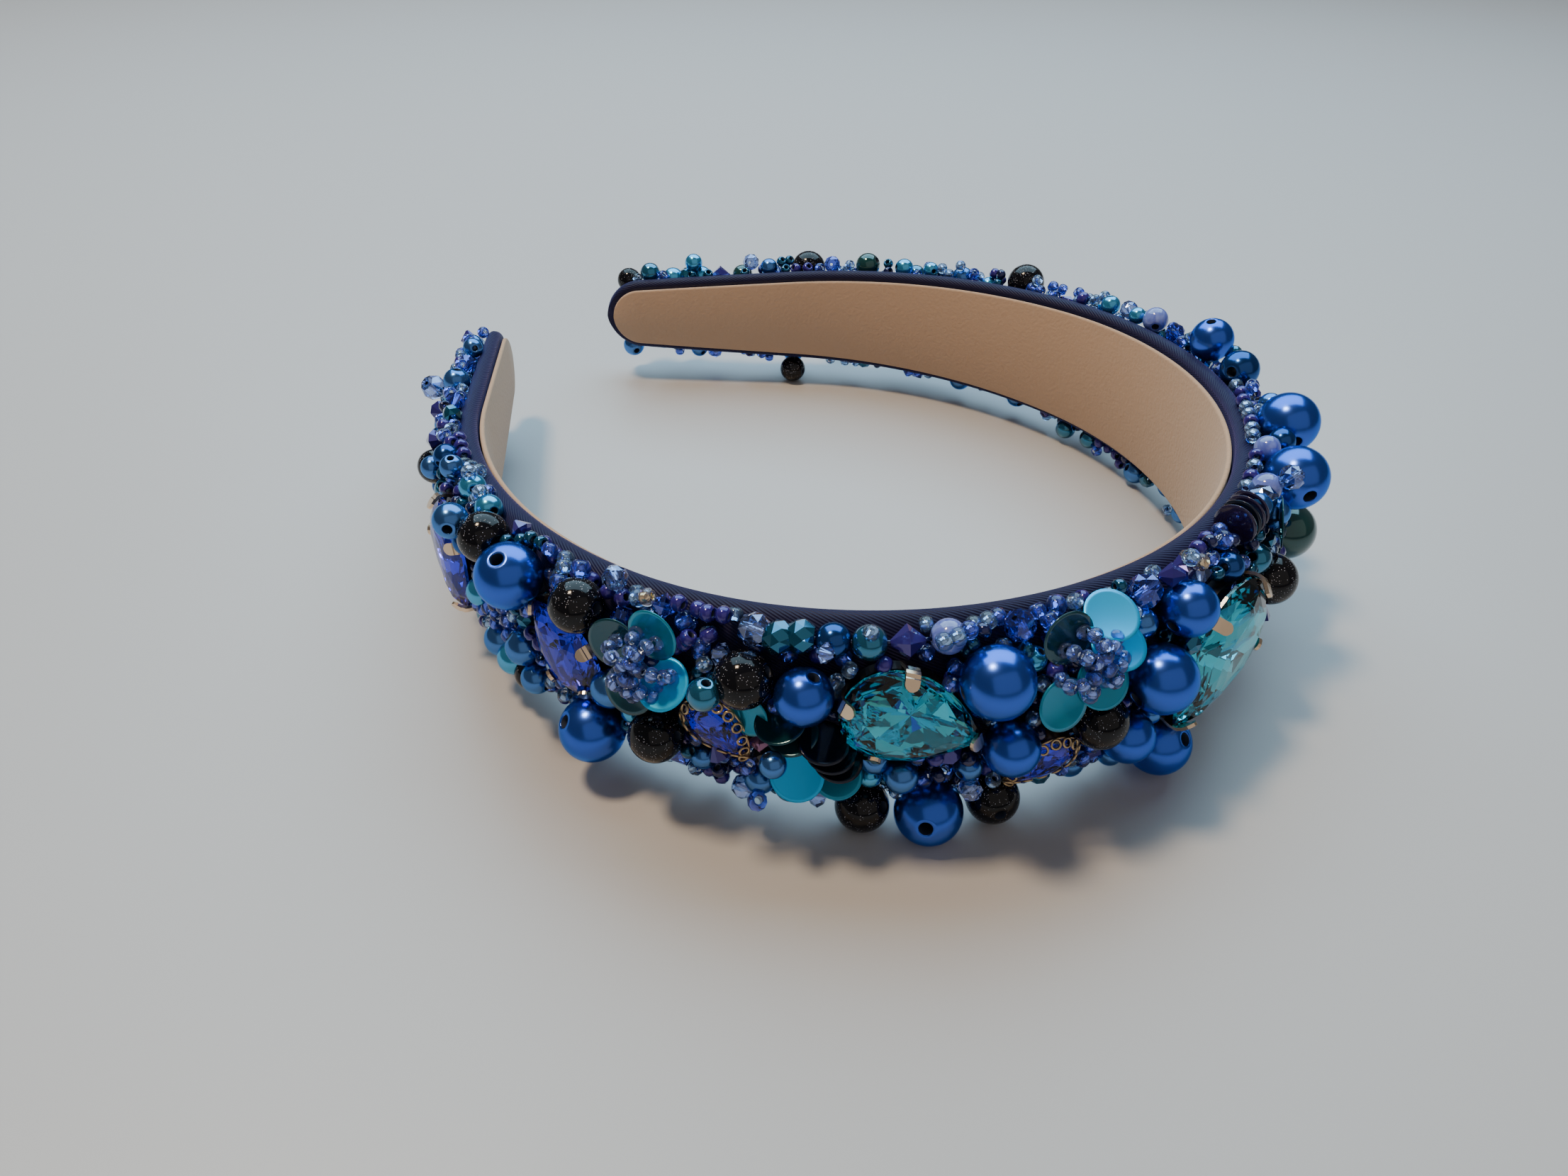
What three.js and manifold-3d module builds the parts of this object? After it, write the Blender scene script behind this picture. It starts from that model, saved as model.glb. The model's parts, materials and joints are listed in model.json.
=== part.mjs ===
// A beaded headband, lying on its side with the open end towards +Y. Millimetres, +Z up.
//
// A padded C-shaped band is covered in navy satin and lined with tan suede. Its outer face is crowded
// with drilled pearls and black beads, drop stones in claw and lace settings, sequin flowers and rows
// of small beads. "Along" runs from the crown (0) to a tip (-1 left arm, +1 right arm). "Over" runs
// across the padded face, from the ridge (0) to a rim (-1 the rim below, +1 the rim above).

import * as THREE from "three";
import { mergeVertices } from "three/addons/utils/BufferGeometryUtils.js";
import Module from "manifold-3d";

const wasm = await Module();
wasm.setup();

// The band's inner line: a crown arc, a side arc and a straight tip on each arm
const CROWN_RADIUS = 63;
const CROWN_ANGLE = 87;
const SIDE_RADIUS = 84;
const SIDE_ANGLE = 44;
const TIP_STRAIGHT = 43;

// The padded band's width, thickness and rim
const CROWN_WIDTH = 30;
const TIP_WIDTH = 15;
const CROWN_PADDING = 6.5;
const TIP_PADDING = 4;
const RIM_HEIGHT = 1.5;
const RIM_CHAMFER = 1.2;
const LINING_THICKNESS = 0.9;
const LINING_MARGIN = 1.6;

// Beads
const LARGE_BEAD = 10;
const MEDIUM_BEAD = 8;
const SMALL_BEAD = 6;
const ROW_BEAD = 5;
const CLUSTER_BEAD = 3;
const LARGE_BORE = 2;
const BORE = 1.5;
const ROW_OVERLAP = 0.5;
const THREAD = 0.9;

// Cut drop stones: length and width at the girdle, crown above it, pavilion below it, sides round it
const LARGE_DROP = { length: 23, width: 17, crown: 3, pavilion: 3.4, sides: 16 };
const MEDIUM_DROP = { length: 18, width: 13, crown: 2.4, pavilion: 3, sides: 12 };
const SMALL_DROP = { length: 14, width: 10, crown: 2, pavilion: 2.4, sides: 12 };
const LACE_DROP = { length: 10, width: 7, crown: 1.6, pavilion: 2, sides: 12 };
const GIRDLE = 0.5;
const SHOULDER = { share: 0.8, rise: 0.62 };

// Settings
const SETTING_WALL = 0.6;
const CLAW_WIDTH = 2;
const LACE_WIDTH = 0.8;
const LACE_LOOP = 2.2;

// Sequin flowers: round petals about a small cluster of beads on one stem bead
const PETAL_DIAMETER = 7.6;
const PETAL_THICKNESS = 0.4;
const FLOWER_REACH = 5.6;
const FLOWER_LIFT = 4.4;
const FLOWER_MIDDLE = 8;
const SUNK_STEM = 0.3;
const CLUSTER_REACH = 2.3;

// The room between two pieces that touch
const GAP = 0.3;

// How far the weight lies towards the crown from the middle of the outline
const WEIGHT_FORWARD = 18;

const QUARTER = Math.PI / 2;
const radians = THREE.MathUtils.degToRad;

// Each bead by kind, place and the way its bore points: turned from along towards over, and leaned outwards
const BEADS = [
  { name: "pearl_01", size: LARGE_BEAD, along: -0.5, over: 0.36, turn: 75, lean: 40 },
  { name: "pearl_02", size: LARGE_BEAD, along: -0.45, over: -0.36, turn: 120, lean: 30 },
  { name: "pearl_03", size: LARGE_BEAD, along: -0.2, over: 0.4, turn: 10, lean: 0 },
  { name: "pearl_04", size: LARGE_BEAD, along: -0.226, over: -0.74, turn: 110, lean: 35 },
  { name: "pearl_05", size: LARGE_BEAD, along: -0.09, over: 0.11, turn: 20, lean: 0 },
  { name: "pearl_06", size: LARGE_BEAD, along: -0.056, over: -0.68, turn: 80, lean: 20 },
  { name: "pearl_07", size: LARGE_BEAD, along: 0.1, over: 0.6, turn: 200, lean: 25 },
  { name: "pearl_08", size: LARGE_BEAD, along: 0.17, over: 0.68, turn: 15, lean: 0 },
  { name: "pearl_09", size: LARGE_BEAD, along: 0.15, over: -0.08, turn: 60, lean: 25 },
  { name: "pearl_10", size: LARGE_BEAD, along: 0.2, over: -0.7, turn: 100, lean: 30 },
  { name: "pearl_11", size: LARGE_BEAD, along: 0.46, over: -0.3, turn: 30, lean: 15 },
  { name: "pearl_12", size: MEDIUM_BEAD, along: -0.296, over: 0.26, turn: 70, lean: 10 },
  { name: "pearl_13", size: MEDIUM_BEAD, along: -0.184, over: -0.12, turn: 20, lean: 0 },
  { name: "pearl_14", size: MEDIUM_BEAD, along: -0.1, over: -0.32, turn: 45, lean: 0 },
  { name: "pearl_15", size: MEDIUM_BEAD, along: -0.066, over: 0.46, turn: 20, lean: 0 },
  { name: "pearl_16", size: MEDIUM_BEAD, along: 0.311, over: 0.8, turn: 90, lean: 30 },
  { name: "pearl_17", size: MEDIUM_BEAD, along: 0.34, over: 0.3, turn: 120, lean: 25 },
  { name: "black_bead_01", size: MEDIUM_BEAD, along: -0.555, over: 0.56, turn: 10, lean: 0 },
  { name: "black_bead_02", size: MEDIUM_BEAD, along: -0.446, over: 0.48, turn: 15, lean: 0 },
  { name: "black_bead_03", size: MEDIUM_BEAD, along: -0.396, over: -0.26, turn: 20, lean: 0 },
  { name: "black_bead_04", size: MEDIUM_BEAD, along: -0.335, over: 0.36, turn: 30, lean: 0 },
  { name: "black_bead_05", size: MEDIUM_BEAD, along: -0.272, over: -0.72, turn: 40, lean: 0 },
  { name: "black_bead_06", size: MEDIUM_BEAD, along: -0.182, over: -0.78, turn: 95, lean: 45 },
  { name: "black_bead_07", size: MEDIUM_BEAD, along: -0.135, over: -0.1, turn: 10, lean: 0 },
  { name: "black_bead_08", size: MEDIUM_BEAD, along: 0.03, over: 0.16, turn: 30, lean: 0 },
  { name: "black_bead_09", size: MEDIUM_BEAD, along: 0.22, over: 0.42, turn: 50, lean: 20 },
  { name: "black_bead_10", size: SMALL_BEAD, along: -0.77, over: -1, turn: 30, lean: 0 },
  { name: "black_bead_11", size: MEDIUM_BEAD, along: 0.539, over: 0.58, turn: 60, lean: 25 },
  { name: "black_bead_12", size: MEDIUM_BEAD, along: 0.77, over: 0.5, turn: 85, lean: 30 },
  { name: "black_bead_13", size: SMALL_BEAD, along: 0.786, over: -1, turn: 30, lean: 0 },
  { name: "black_bead_14", size: SMALL_BEAD, along: -0.71, over: 0.33, turn: 70, lean: 30 },
];

// Each stone by size, setting and place, and the way its point lies: turned from along towards over
const STONES = [
  { name: "teal_drop_1", size: MEDIUM_DROP, setting: "claws", along: -0.243, over: 0.12, point: -20 },
  { name: "teal_drop_2", size: LARGE_DROP, setting: "claws", along: -0.028, over: -0.02, point: -127 },
  { name: "teal_drop_3", size: MEDIUM_DROP, setting: "claws", along: 0.262, over: -0.08, point: 190 },
  { name: "blue_drop_1", size: SMALL_DROP, setting: "claws", along: -0.468, over: 0.08, point: 135 },
  { name: "blue_drop_2", size: MEDIUM_DROP, setting: "claws", along: -0.622, over: 0.02, point: -75 },
  { name: "blue_drop_3", size: SMALL_DROP, setting: "claws", along: 0.58, over: 0.02, point: 165 },
  { name: "lace_drop_1", size: LACE_DROP, setting: "lace", along: -0.356, over: -0.11, point: -45 },
  { name: "lace_drop_2", size: LACE_DROP, setting: "lace", along: -0.157, over: -0.4, point: -150 },
  { name: "lace_drop_3", size: LACE_DROP, setting: "lace", along: 0.4, over: 0.12, point: 35 },
];

// Each flower's place and its petals: direction from along towards over, and share of the flower's reach
const FLOWERS = [
  {
    name: "sequin_flower_1",
    along: -0.4,
    over: 0.3,
    petals: [
      { turn: 160, reach: 0.85 },
      { turn: 250, reach: 0.9 },
      { turn: 70, reach: 0.95 },
      { turn: 330, reach: 0.75 },
    ],
  },
  {
    name: "sequin_flower_2",
    along: -0.144,
    over: 0.4,
    petals: [
      { turn: 56, reach: 1.15 },
      { turn: 10, reach: 0.85 },
      { turn: 300, reach: 0.8 },
      { turn: 235, reach: 1.2 },
      { turn: 128, reach: 0.95 },
    ],
  },
];

// Rows of small beads sewn on one thread: where each starts, how its beads follow on, and how many
const ROWS = [
  { name: "bead_row_1", size: ROW_BEAD, along: -0.345, over: 0.64, turn: 0, count: 7 },
  { name: "bead_row_2", size: ROW_BEAD, along: -0.34, over: -0.6, turn: 0, count: 4 },
  { name: "bead_row_3", size: ROW_BEAD, along: 0.01, over: 0.72, turn: 0, count: 4 },
  { name: "bead_row_4", size: ROW_BEAD, along: 0.84, over: 0.5, turn: 0, count: 5 },
  { name: "bead_row_5", size: ROW_BEAD, along: -0.93, over: 0.3, turn: 0, count: 5 },
  { name: "bead_row_6", size: SMALL_BEAD, along: -0.57, over: -0.4, turn: -20, count: 3 },
  { name: "bead_row_7", size: SMALL_BEAD, along: 0.6, over: -0.5, turn: 0, count: 4 },
];

const COLOURS = {
  satin: { color: 0x14142c, roughness: 0.55, metalness: 0 },
  suede: { color: 0xb08a66, roughness: 0.95, metalness: 0 },
  pearl: { color: 0x1f4fa8, roughness: 0.25, metalness: 0.5 },
  black: { color: 0x0b0b0d, roughness: 0.08, metalness: 0 },
  teal: { color: 0x1d8a90, roughness: 0.05, metalness: 0.2 },
  blue: { color: 0x2327a8, roughness: 0.05, metalness: 0.2 },
  gold: { color: 0xb98a4a, roughness: 0.3, metalness: 1 },
  sequin: { color: 0x2aa7bb, roughness: 0.2, metalness: 0.5 },
  crystal: { color: 0x4c63c9, roughness: 0.08, metalness: 0.2 },
};

// The band's line and padded face

const crownLength = CROWN_RADIUS * radians(CROWN_ANGLE);
const sideLength = SIDE_RADIUS * radians(SIDE_ANGLE);
const HALF_LENGTH = crownLength + sideLength + TIP_STRAIGHT;

// A point on the inner line at a distance s from the crown, with the direction of the line there
function lineAt(s) {
  const distance = Math.abs(s);
  const onCrown = Math.min(distance, crownLength);
  const onSide = THREE.MathUtils.clamp(distance - crownLength, 0, sideLength);
  const onTip = Math.max(distance - crownLength - sideLength, 0);
  const crownTurn = onCrown / CROWN_RADIUS;
  const heading = crownTurn + onSide / SIDE_RADIUS;
  const x =
    CROWN_RADIUS * Math.sin(crownTurn) +
    SIDE_RADIUS * (Math.sin(heading) - Math.sin(crownTurn)) +
    onTip * Math.cos(heading);
  const y =
    CROWN_RADIUS * (1 - Math.cos(crownTurn)) +
    SIDE_RADIUS * (Math.cos(crownTurn) - Math.cos(heading)) +
    onTip * Math.sin(heading);
  const side = s < 0 ? -1 : 1;
  return { x: side * x, y, heading: side * heading };
}

// How far a round tip's half width has closed in at s, for a tip that ends at end
function tipClosing(s, end, halfWidth) {
  const into = (Math.abs(s) - (end - halfWidth)) / halfWidth;
  return into > 0 ? Math.sqrt(Math.max(1 - into * into, 0)) : 1;
}

function halfWidthAt(s) {
  const share = Math.abs(s) / HALF_LENGTH;
  return (TIP_WIDTH + (CROWN_WIDTH - TIP_WIDTH) * (1 - share * share)) / 2;
}

function paddingAt(s) {
  const share = Math.abs(s) / HALF_LENGTH;
  return CROWN_PADDING + (TIP_PADDING - CROWN_PADDING) * share * share;
}

// A point from s, a height across the band and a distance out from the inner line
function bandPoint(s, across, out) {
  const line = lineAt(s);
  const x = line.x + out * Math.sin(line.heading);
  const y = line.y - out * Math.cos(line.heading);
  return new THREE.Vector3(x, y, across);
}

// Where a piece sits at a height on the padded face: its centre and the ways along, over and out
function seatAt(s, angle, height) {
  const halfWidth = halfWidthAt(s);
  const dome = paddingAt(s) - RIM_HEIGHT;
  const across = halfWidth * Math.sin(angle);
  const out = RIM_HEIGHT + dome * Math.cos(angle);
  const slope = Math.atan2(dome * Math.sin(angle), halfWidth * Math.cos(angle));
  const heading = lineAt(s).heading;
  const alongWay = new THREE.Vector3(Math.cos(heading), Math.sin(heading), 0);
  const level = new THREE.Vector3(Math.sin(heading), -Math.cos(heading), 0);
  const up = new THREE.Vector3(0, 0, 1);
  const outWay = level.clone().multiplyScalar(Math.cos(slope)).addScaledVector(up, Math.sin(slope));
  const overWay = up.clone().multiplyScalar(Math.cos(slope)).addScaledVector(level, -Math.sin(slope));
  const centre = bandPoint(s, across, out).addScaledVector(outWay, height);
  return { centre, alongWay, overWay, outWay };
}

// Solids

function solidOf(geometry) {
  const bare = geometry.clone();
  for (const name of Object.keys(bare.attributes)) if (name !== "position") bare.deleteAttribute(name);
  const merged = mergeVertices(bare, 1e-4);
  return new wasm.Manifold(
    new wasm.Mesh({
      numProp: 3,
      vertProperties: merged.attributes.position.array,
      triVerts: new Uint32Array(merged.index.array),
    }),
  );
}

function geometryOf(solid) {
  const mesh = solid.getMesh();
  const positions = new Float32Array(mesh.numVert * 3);
  for (let i = 0; i < mesh.numVert; i++) {
    positions.set(mesh.vertProperties.subarray(i * mesh.numProp, i * mesh.numProp + 3), i * 3);
  }
  const geometry = new THREE.BufferGeometry();
  geometry.setAttribute("position", new THREE.BufferAttribute(positions, 3));
  geometry.setIndex(new THREE.BufferAttribute(new Uint32Array(mesh.triVerts), 1));
  return geometry;
}

// One closed body from several overlapping geometries
function fused(geometries) {
  return geometryOf(geometries.map(solidOf).reduce((whole, piece) => whole.add(piece)));
}

// A closed body through rings of points, all with the same count, capped at both ends
function loft(rings) {
  const count = rings[0].length;
  const points = rings.flat();
  const faces = [];
  for (let r = 0; r + 1 < rings.length; r++) {
    for (let i = 0; i < count; i++) {
      const a = r * count + i;
      const b = r * count + ((i + 1) % count);
      faces.push(a, b + count, b, a, a + count, b + count);
    }
  }
  const last = (rings.length - 1) * count;
  for (let i = 1; i + 1 < count; i++) {
    faces.push(0, i, i + 1);
    faces.push(last, last + i + 1, last + i);
  }
  const geometry = new THREE.BufferGeometry().setFromPoints(points);
  geometry.setIndex(faces);
  return geometry;
}

// Stations along the band, closer together where a round tip closes in
function stations(end, tipHalfWidth) {
  const TIP_STEPS = [0.35, 0.65, 0.86, 0.97];
  const BODY_STEPS = 31;
  const body = end - tipHalfWidth;
  const places = [];
  for (let i = 0; i <= BODY_STEPS; i++) places.push(-body + (2 * body * i) / BODY_STEPS);
  const tips = TIP_STEPS.map((step) => body + step * tipHalfWidth);
  return [...tips.map((s) => -s).reverse(), ...places, ...tips];
}

// The padded band under its satin: a flat inner face, chamfered rims and a domed outer face
function satinBand() {
  const DOME_STEPS = 8;
  const tipHalf = TIP_WIDTH / 2;
  const rings = stations(HALF_LENGTH, tipHalf).map((s) => {
    const closing = tipClosing(s, HALF_LENGTH, tipHalf);
    const half = halfWidthAt(s) * closing;
    const chamfer = Math.min(RIM_CHAMFER, half / 3);
    const dome = (paddingAt(s) - RIM_HEIGHT) * (0.4 + 0.6 * closing);
    const ring = [bandPoint(s, half - chamfer, 0), bandPoint(s, -half + chamfer, 0)];
    for (let i = 0; i <= DOME_STEPS; i++) {
      const angle = -QUARTER + (2 * QUARTER * i) / DOME_STEPS;
      ring.push(bandPoint(s, half * Math.sin(angle), RIM_HEIGHT + dome * Math.cos(angle)));
    }
    return ring;
  });
  return loft(rings);
}

function suedeLining() {
  const end = HALF_LENGTH - LINING_MARGIN;
  const tipHalf = TIP_WIDTH / 2 - LINING_MARGIN;
  const rings = stations(end, tipHalf).map((s) => {
    const half = (halfWidthAt(s) - LINING_MARGIN) * tipClosing(s, end, tipHalf);
    const inside = -GAP - LINING_THICKNESS;
    return [
      bandPoint(s, half, inside),
      bandPoint(s, -half, inside),
      bandPoint(s, -half, -GAP),
      bandPoint(s, half, -GAP),
    ];
  });
  return loft(rings);
}

// A drilled round bead about the Y axis
function drilledBead(diameter, bore, sides, steps) {
  const radius = diameter / 2;
  const start = Math.asin(bore / diameter);
  const profile = [];
  for (let i = 0; i <= steps; i++) {
    const angle = Math.PI - start - ((Math.PI - 2 * start) * i) / steps;
    profile.push(new THREE.Vector2(radius * Math.sin(angle), radius * Math.cos(angle)));
  }
  profile.push(profile[0].clone());
  return new THREE.LatheGeometry(profile, sides);
}

// A plain round bead, for beads that are fused into a row or cluster
function plainBead(diameter, centre) {
  return new THREE.SphereGeometry(diameter / 2, 10, 4).translate(centre.x, centre.y, centre.z);
}

// A drop's outline with its point towards +X, as a share t of a turn from that point
function dropPoint(t, length, width) {
  const FULLNESS = 0.7;
  const WIDEST = 0.831;
  const angle = 2 * Math.PI * t;
  const x = (length / 2) * Math.cos(angle);
  const y = ((width / 2) * Math.sin(angle) * Math.sin(angle / 2) ** FULLNESS) / WIDEST;
  return new THREE.Vector2(x, y);
}

// A ring of points on a drop's outline at a height, from a share of a step past its point
function dropRing(size, count, height, phase = 0) {
  const ring = [];
  for (let i = 0; i < count; i++) {
    const point = dropPoint((i + phase) / count, size.length, size.width);
    ring.push(new THREE.Vector3(point.x, point.y, height));
  }
  return ring;
}

// Triangles between a ring of n points and a finer or shifted ring above it, by nearest share of the turn
function bandBetween(faces, lower, upper) {
  let i = 0;
  let j = 0;
  while (i < lower.count || j < upper.count) {
    const a = lower.first + (i % lower.count);
    const b = upper.first + (j % upper.count);
    const nextLower = (i + 1 + lower.phase) / lower.count;
    const nextUpper = (j + 1 + upper.phase) / upper.count;
    if (j >= upper.count || (i < lower.count && nextLower <= nextUpper)) {
      faces.push(a, lower.first + ((i + 1) % lower.count), b);
      i++;
    } else {
      faces.push(a, upper.first + ((j + 1) % upper.count), b);
      j++;
    }
  }
}

// A cut drop stone: culet, pavilion, girdle, two rows of crown facets and a table
function cutStone(size) {
  const TABLE = 0.56;
  const PAVILION_MIDDLE = 0.6;
  const PAVILION_RISE = 0.32;
  const half = size.sides / 2;
  const top = size.pavilion + GIRDLE;
  const levels = [
    { share: PAVILION_MIDDLE, count: half, height: size.pavilion * PAVILION_RISE, phase: 0.5 },
    { share: 1, count: size.sides, height: size.pavilion, phase: 0 },
    { share: 1, count: size.sides, height: top, phase: 0 },
    { share: SHOULDER.share, count: half, height: top + size.crown * SHOULDER.rise, phase: 0.5 },
    { share: TABLE, count: half, height: top + size.crown, phase: 0 },
  ];
  const points = [new THREE.Vector3(0, 0, 0)];
  for (const level of levels) {
    const scaled = { length: size.length * level.share, width: size.width * level.share };
    level.first = points.length;
    points.push(...dropRing(scaled, level.count, level.height, level.phase));
  }
  const faces = [];
  for (let i = 0; i < half; i++) faces.push(0, 1 + ((i + 1) % half), 1 + i);
  for (let i = 0; i + 1 < levels.length; i++) bandBetween(faces, levels[i], levels[i + 1]);
  const table = levels[levels.length - 1];
  for (let i = 1; i + 1 < table.count; i++) faces.push(table.first, table.first + i, table.first + i + 1);
  const geometry = new THREE.BufferGeometry().setFromPoints(points);
  geometry.setIndex(faces);
  return geometry;
}

// A collar under a stone's girdle, open in the middle for its pavilion
function collar(size, outer, top) {
  const outline = (offset) => {
    const grown = { length: size.length + 2 * offset, width: size.width + 2 * offset };
    return dropRing(grown, size.sides, 0).map((point) => new THREE.Vector2(point.x, point.y));
  };
  const shape = new THREE.Shape(outline(outer));
  shape.holes.push(new THREE.Path(outline(outer - SETTING_WALL)));
  return new THREE.ExtrudeGeometry(shape, { depth: top, bevelEnabled: false });
}

// The place on a drop's outline at a share t of a turn, and the way out of it
function outlineAt(size, t) {
  const STEP = 0.01;
  const here = dropPoint(t, size.length, size.width);
  const before = dropPoint(t - STEP, size.length, size.width);
  const after = dropPoint(t + STEP, size.length, size.width);
  return { x: here.x, y: here.y, way: Math.atan2(after.y - before.y, after.x - before.x) - QUARTER };
}

// A claw that stands on the collar and folds over the girdle onto the crown
function claw(size, t) {
  const girdleTop = size.pavilion + GIRDLE;
  const out = GAP + SETTING_WALL;
  const reach = ((1 - SHOULDER.share) * size.width) / 2;
  const tip = girdleTop + GAP + size.crown * SHOULDER.rise;
  const profile = [
    [GAP, 0],
    [out, 0],
    [out, girdleTop + GAP],
    [-reach, tip + SETTING_WALL],
    [-reach, tip],
    [GAP, girdleTop],
  ];
  const shape = new THREE.Shape(profile.map(([x, y]) => new THREE.Vector2(x, y)));
  const place = outlineAt(size, t);
  return new THREE.ExtrudeGeometry(shape, { depth: CLAW_WIDTH, bevelEnabled: false })
    .translate(0, 0, -CLAW_WIDTH / 2)
    .rotateX(QUARTER)
    .rotateZ(place.way)
    .translate(place.x, place.y, 0);
}

function clawSetting(size) {
  const CLAWS = [0.04, 0.3, 0.5, 0.7];
  const walls = collar(size, GAP + SETTING_WALL, size.pavilion - GAP);
  return fused([walls, ...CLAWS.map((t) => claw(size, t))]);
}

// A lace setting: a collar with a row of upright round loops standing along its top
function laceSetting(size) {
  const LOOPS = 9;
  const LOOP_SIDES = 6;
  const outer = GAP + LACE_WIDTH;
  const top = size.pavilion;
  const parts = [collar(size, outer, top)];
  for (let i = 0; i < LOOPS; i++) {
    const place = outlineAt({ length: size.length + outer, width: size.width + outer }, (i + 0.5) / LOOPS);
    parts.push(
      new THREE.CylinderGeometry(LACE_LOOP / 2, LACE_LOOP / 2, SETTING_WALL, LOOP_SIDES)
        .rotateZ(QUARTER)
        .rotateZ(place.way)
        .translate(place.x, place.y, top + LACE_LOOP / 4),
    );
  }
  return fused(parts);
}

// Where a flower's petals sit about its middle, at the flower's own height
function petalPlace(petal) {
  const reach = petal.reach * FLOWER_REACH;
  return new THREE.Vector2(reach * Math.cos(radians(petal.turn)), reach * Math.sin(radians(petal.turn)));
}

// How far a flower's outline reaches in a direction: the furthest of its round petals and its middle
function flowerReach(flower, direction) {
  const radius = PETAL_DIAMETER / 2;
  const reaches = flower.petals.map((petal) => {
    const away = radians(petal.turn) - direction;
    const aside = petal.reach * FLOWER_REACH * Math.sin(away);
    if (Math.abs(aside) > radius) return 0;
    return petal.reach * FLOWER_REACH * Math.cos(away) + Math.sqrt(radius * radius - aside * aside);
  });
  return Math.max(FLOWER_MIDDLE / 2, ...reaches);
}

// A plate of joined petals with a stem bead below it and a cluster of beads on it
function sequinFlower(flower) {
  const OUTLINE_STEPS = 36;
  const CLUSTER = 4;
  const outline = [];
  for (let i = 0; i < OUTLINE_STEPS; i++) {
    const direction = (2 * Math.PI * i) / OUTLINE_STEPS;
    const reach = flowerReach(flower, direction);
    outline.push(new THREE.Vector2(reach * Math.cos(direction), reach * Math.sin(direction)));
  }
  const plate = { depth: PETAL_THICKNESS, bevelEnabled: false };
  const petals = new THREE.ExtrudeGeometry(new THREE.Shape(outline), plate);
  const stem = plainBead(FLOWER_LIFT, new THREE.Vector3(0, 0, FLOWER_LIFT / 2));
  const sunk = FLOWER_LIFT + PETAL_THICKNESS + CLUSTER_BEAD / 4;
  const cluster = [plainBead(CLUSTER_BEAD, new THREE.Vector3(0, 0, sunk + CLUSTER_BEAD / 3))];
  for (let i = 0; i < CLUSTER; i++) {
    const turn = (2 * Math.PI * i) / CLUSTER;
    const place = new THREE.Vector3(CLUSTER_REACH * Math.cos(turn), CLUSTER_REACH * Math.sin(turn), sunk);
    cluster.push(plainBead(CLUSTER_BEAD, place));
  }
  return fused([petals.translate(0, 0, FLOWER_LIFT - SUNK_STEM), stem, ...cluster]);
}

// Beads strung on one thread
function strungBeads(beads) {
  const links = beads.slice(1).map((bead, i) => threadBetween(beads[i].centre, bead.centre));
  return fused([...beads.map((bead) => plainBead(2 * bead.radius, bead.centre)), ...links]);
}

function threadBetween(a, b) {
  const way = b.clone().sub(a);
  const upright = new THREE.Vector3(0, 1, 0);
  const turn = new THREE.Quaternion().setFromUnitVectors(upright, way.clone().normalize());
  const middle = a.clone().add(b).multiplyScalar(0.5);
  return new THREE.CylinderGeometry(THREAD / 2, THREAD / 2, way.length(), 6)
    .applyQuaternion(turn)
    .translate(middle.x, middle.y, middle.z);
}

// Settling: beads are pushed apart over the padded face until none lies within the gap of another

function seatOf(piece, height) {
  return seatAt(piece.along * HALF_LENGTH, piece.over * QUARTER, height);
}

// Round buffers that stand for a stone and its setting
function stoneBuffers(stone) {
  const size = stone.size;
  const reach = GAP + (stone.setting === "lace" ? LACE_WIDTH : SETTING_WALL);
  const seat = seatOf(stone, MEDIUM_BEAD / 2);
  const BUFFERS = [
    { at: -0.17, radius: 0.5 },
    { at: 0.02, radius: 0.46 },
    { at: 0.2, radius: 0.33 },
    { at: 0.34, radius: 0.19 },
    { at: 0.45, radius: 0.06 },
  ];
  const way = radians(stone.point);
  return BUFFERS.map((buffer) => ({
    fixed: true,
    radius: buffer.radius * size.width + reach,
    centre: seat.centre
      .clone()
      .addScaledVector(seat.alongWay, buffer.at * size.length * Math.cos(way))
      .addScaledVector(seat.overWay, buffer.at * size.length * Math.sin(way)),
  }));
}

function flowerBuffers(flower) {
  const seat = seatOf(flower, GAP + FLOWER_LIFT);
  const petals = flower.petals.map((petal) => {
    const place = petalPlace(petal);
    const centre = seat.centre
      .clone()
      .addScaledVector(seat.alongWay, place.x)
      .addScaledVector(seat.overWay, place.y);
    return { fixed: true, radius: PETAL_DIAMETER / 2, centre };
  });
  return [...petals, { fixed: true, radius: CLUSTER_REACH + CLUSTER_BEAD / 2, centre: seat.centre.clone() }];
}

function looseBead(piece, diameter, row) {
  const bead = {
    row,
    radius: diameter / 2,
    s: piece.along * HALF_LENGTH,
    angle: piece.over * QUARTER,
  };
  reseat(bead);
  return bead;
}

function reseat(bead) {
  const MOST_OVER = 1.06 * QUARTER;
  bead.angle = THREE.MathUtils.clamp(bead.angle, -MOST_OVER, MOST_OVER);
  bead.seat = seatAt(bead.s, bead.angle, bead.radius + GAP);
  bead.centre = bead.seat.centre;
}

// Moves a bead over the face by the part of a push that lies in it
function slide(bead, push) {
  const STEP = 0.01;
  const further = seatAt(bead.s + STEP, bead.angle, bead.radius + GAP).centre.sub(bead.centre);
  const higher = seatAt(bead.s, bead.angle + STEP, bead.radius + GAP).centre.sub(bead.centre);
  bead.s += (STEP * push.dot(further)) / further.lengthSq();
  bead.angle += (STEP * push.dot(higher)) / higher.lengthSq();
  reseat(bead);
}

// Pushes two pieces to the distance wanted, the loose one alone where the other is fixed
function pushApart(a, b, wanted) {
  const apart = a.centre.clone().sub(b.centre);
  const distance = apart.length();
  const share = a.fixed || b.fixed ? 1 : 0.5;
  apart.multiplyScalar((share * (wanted - distance)) / distance);
  if (!a.fixed) slide(a, apart);
  if (!b.fixed) slide(b, apart.negate());
}

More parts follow.
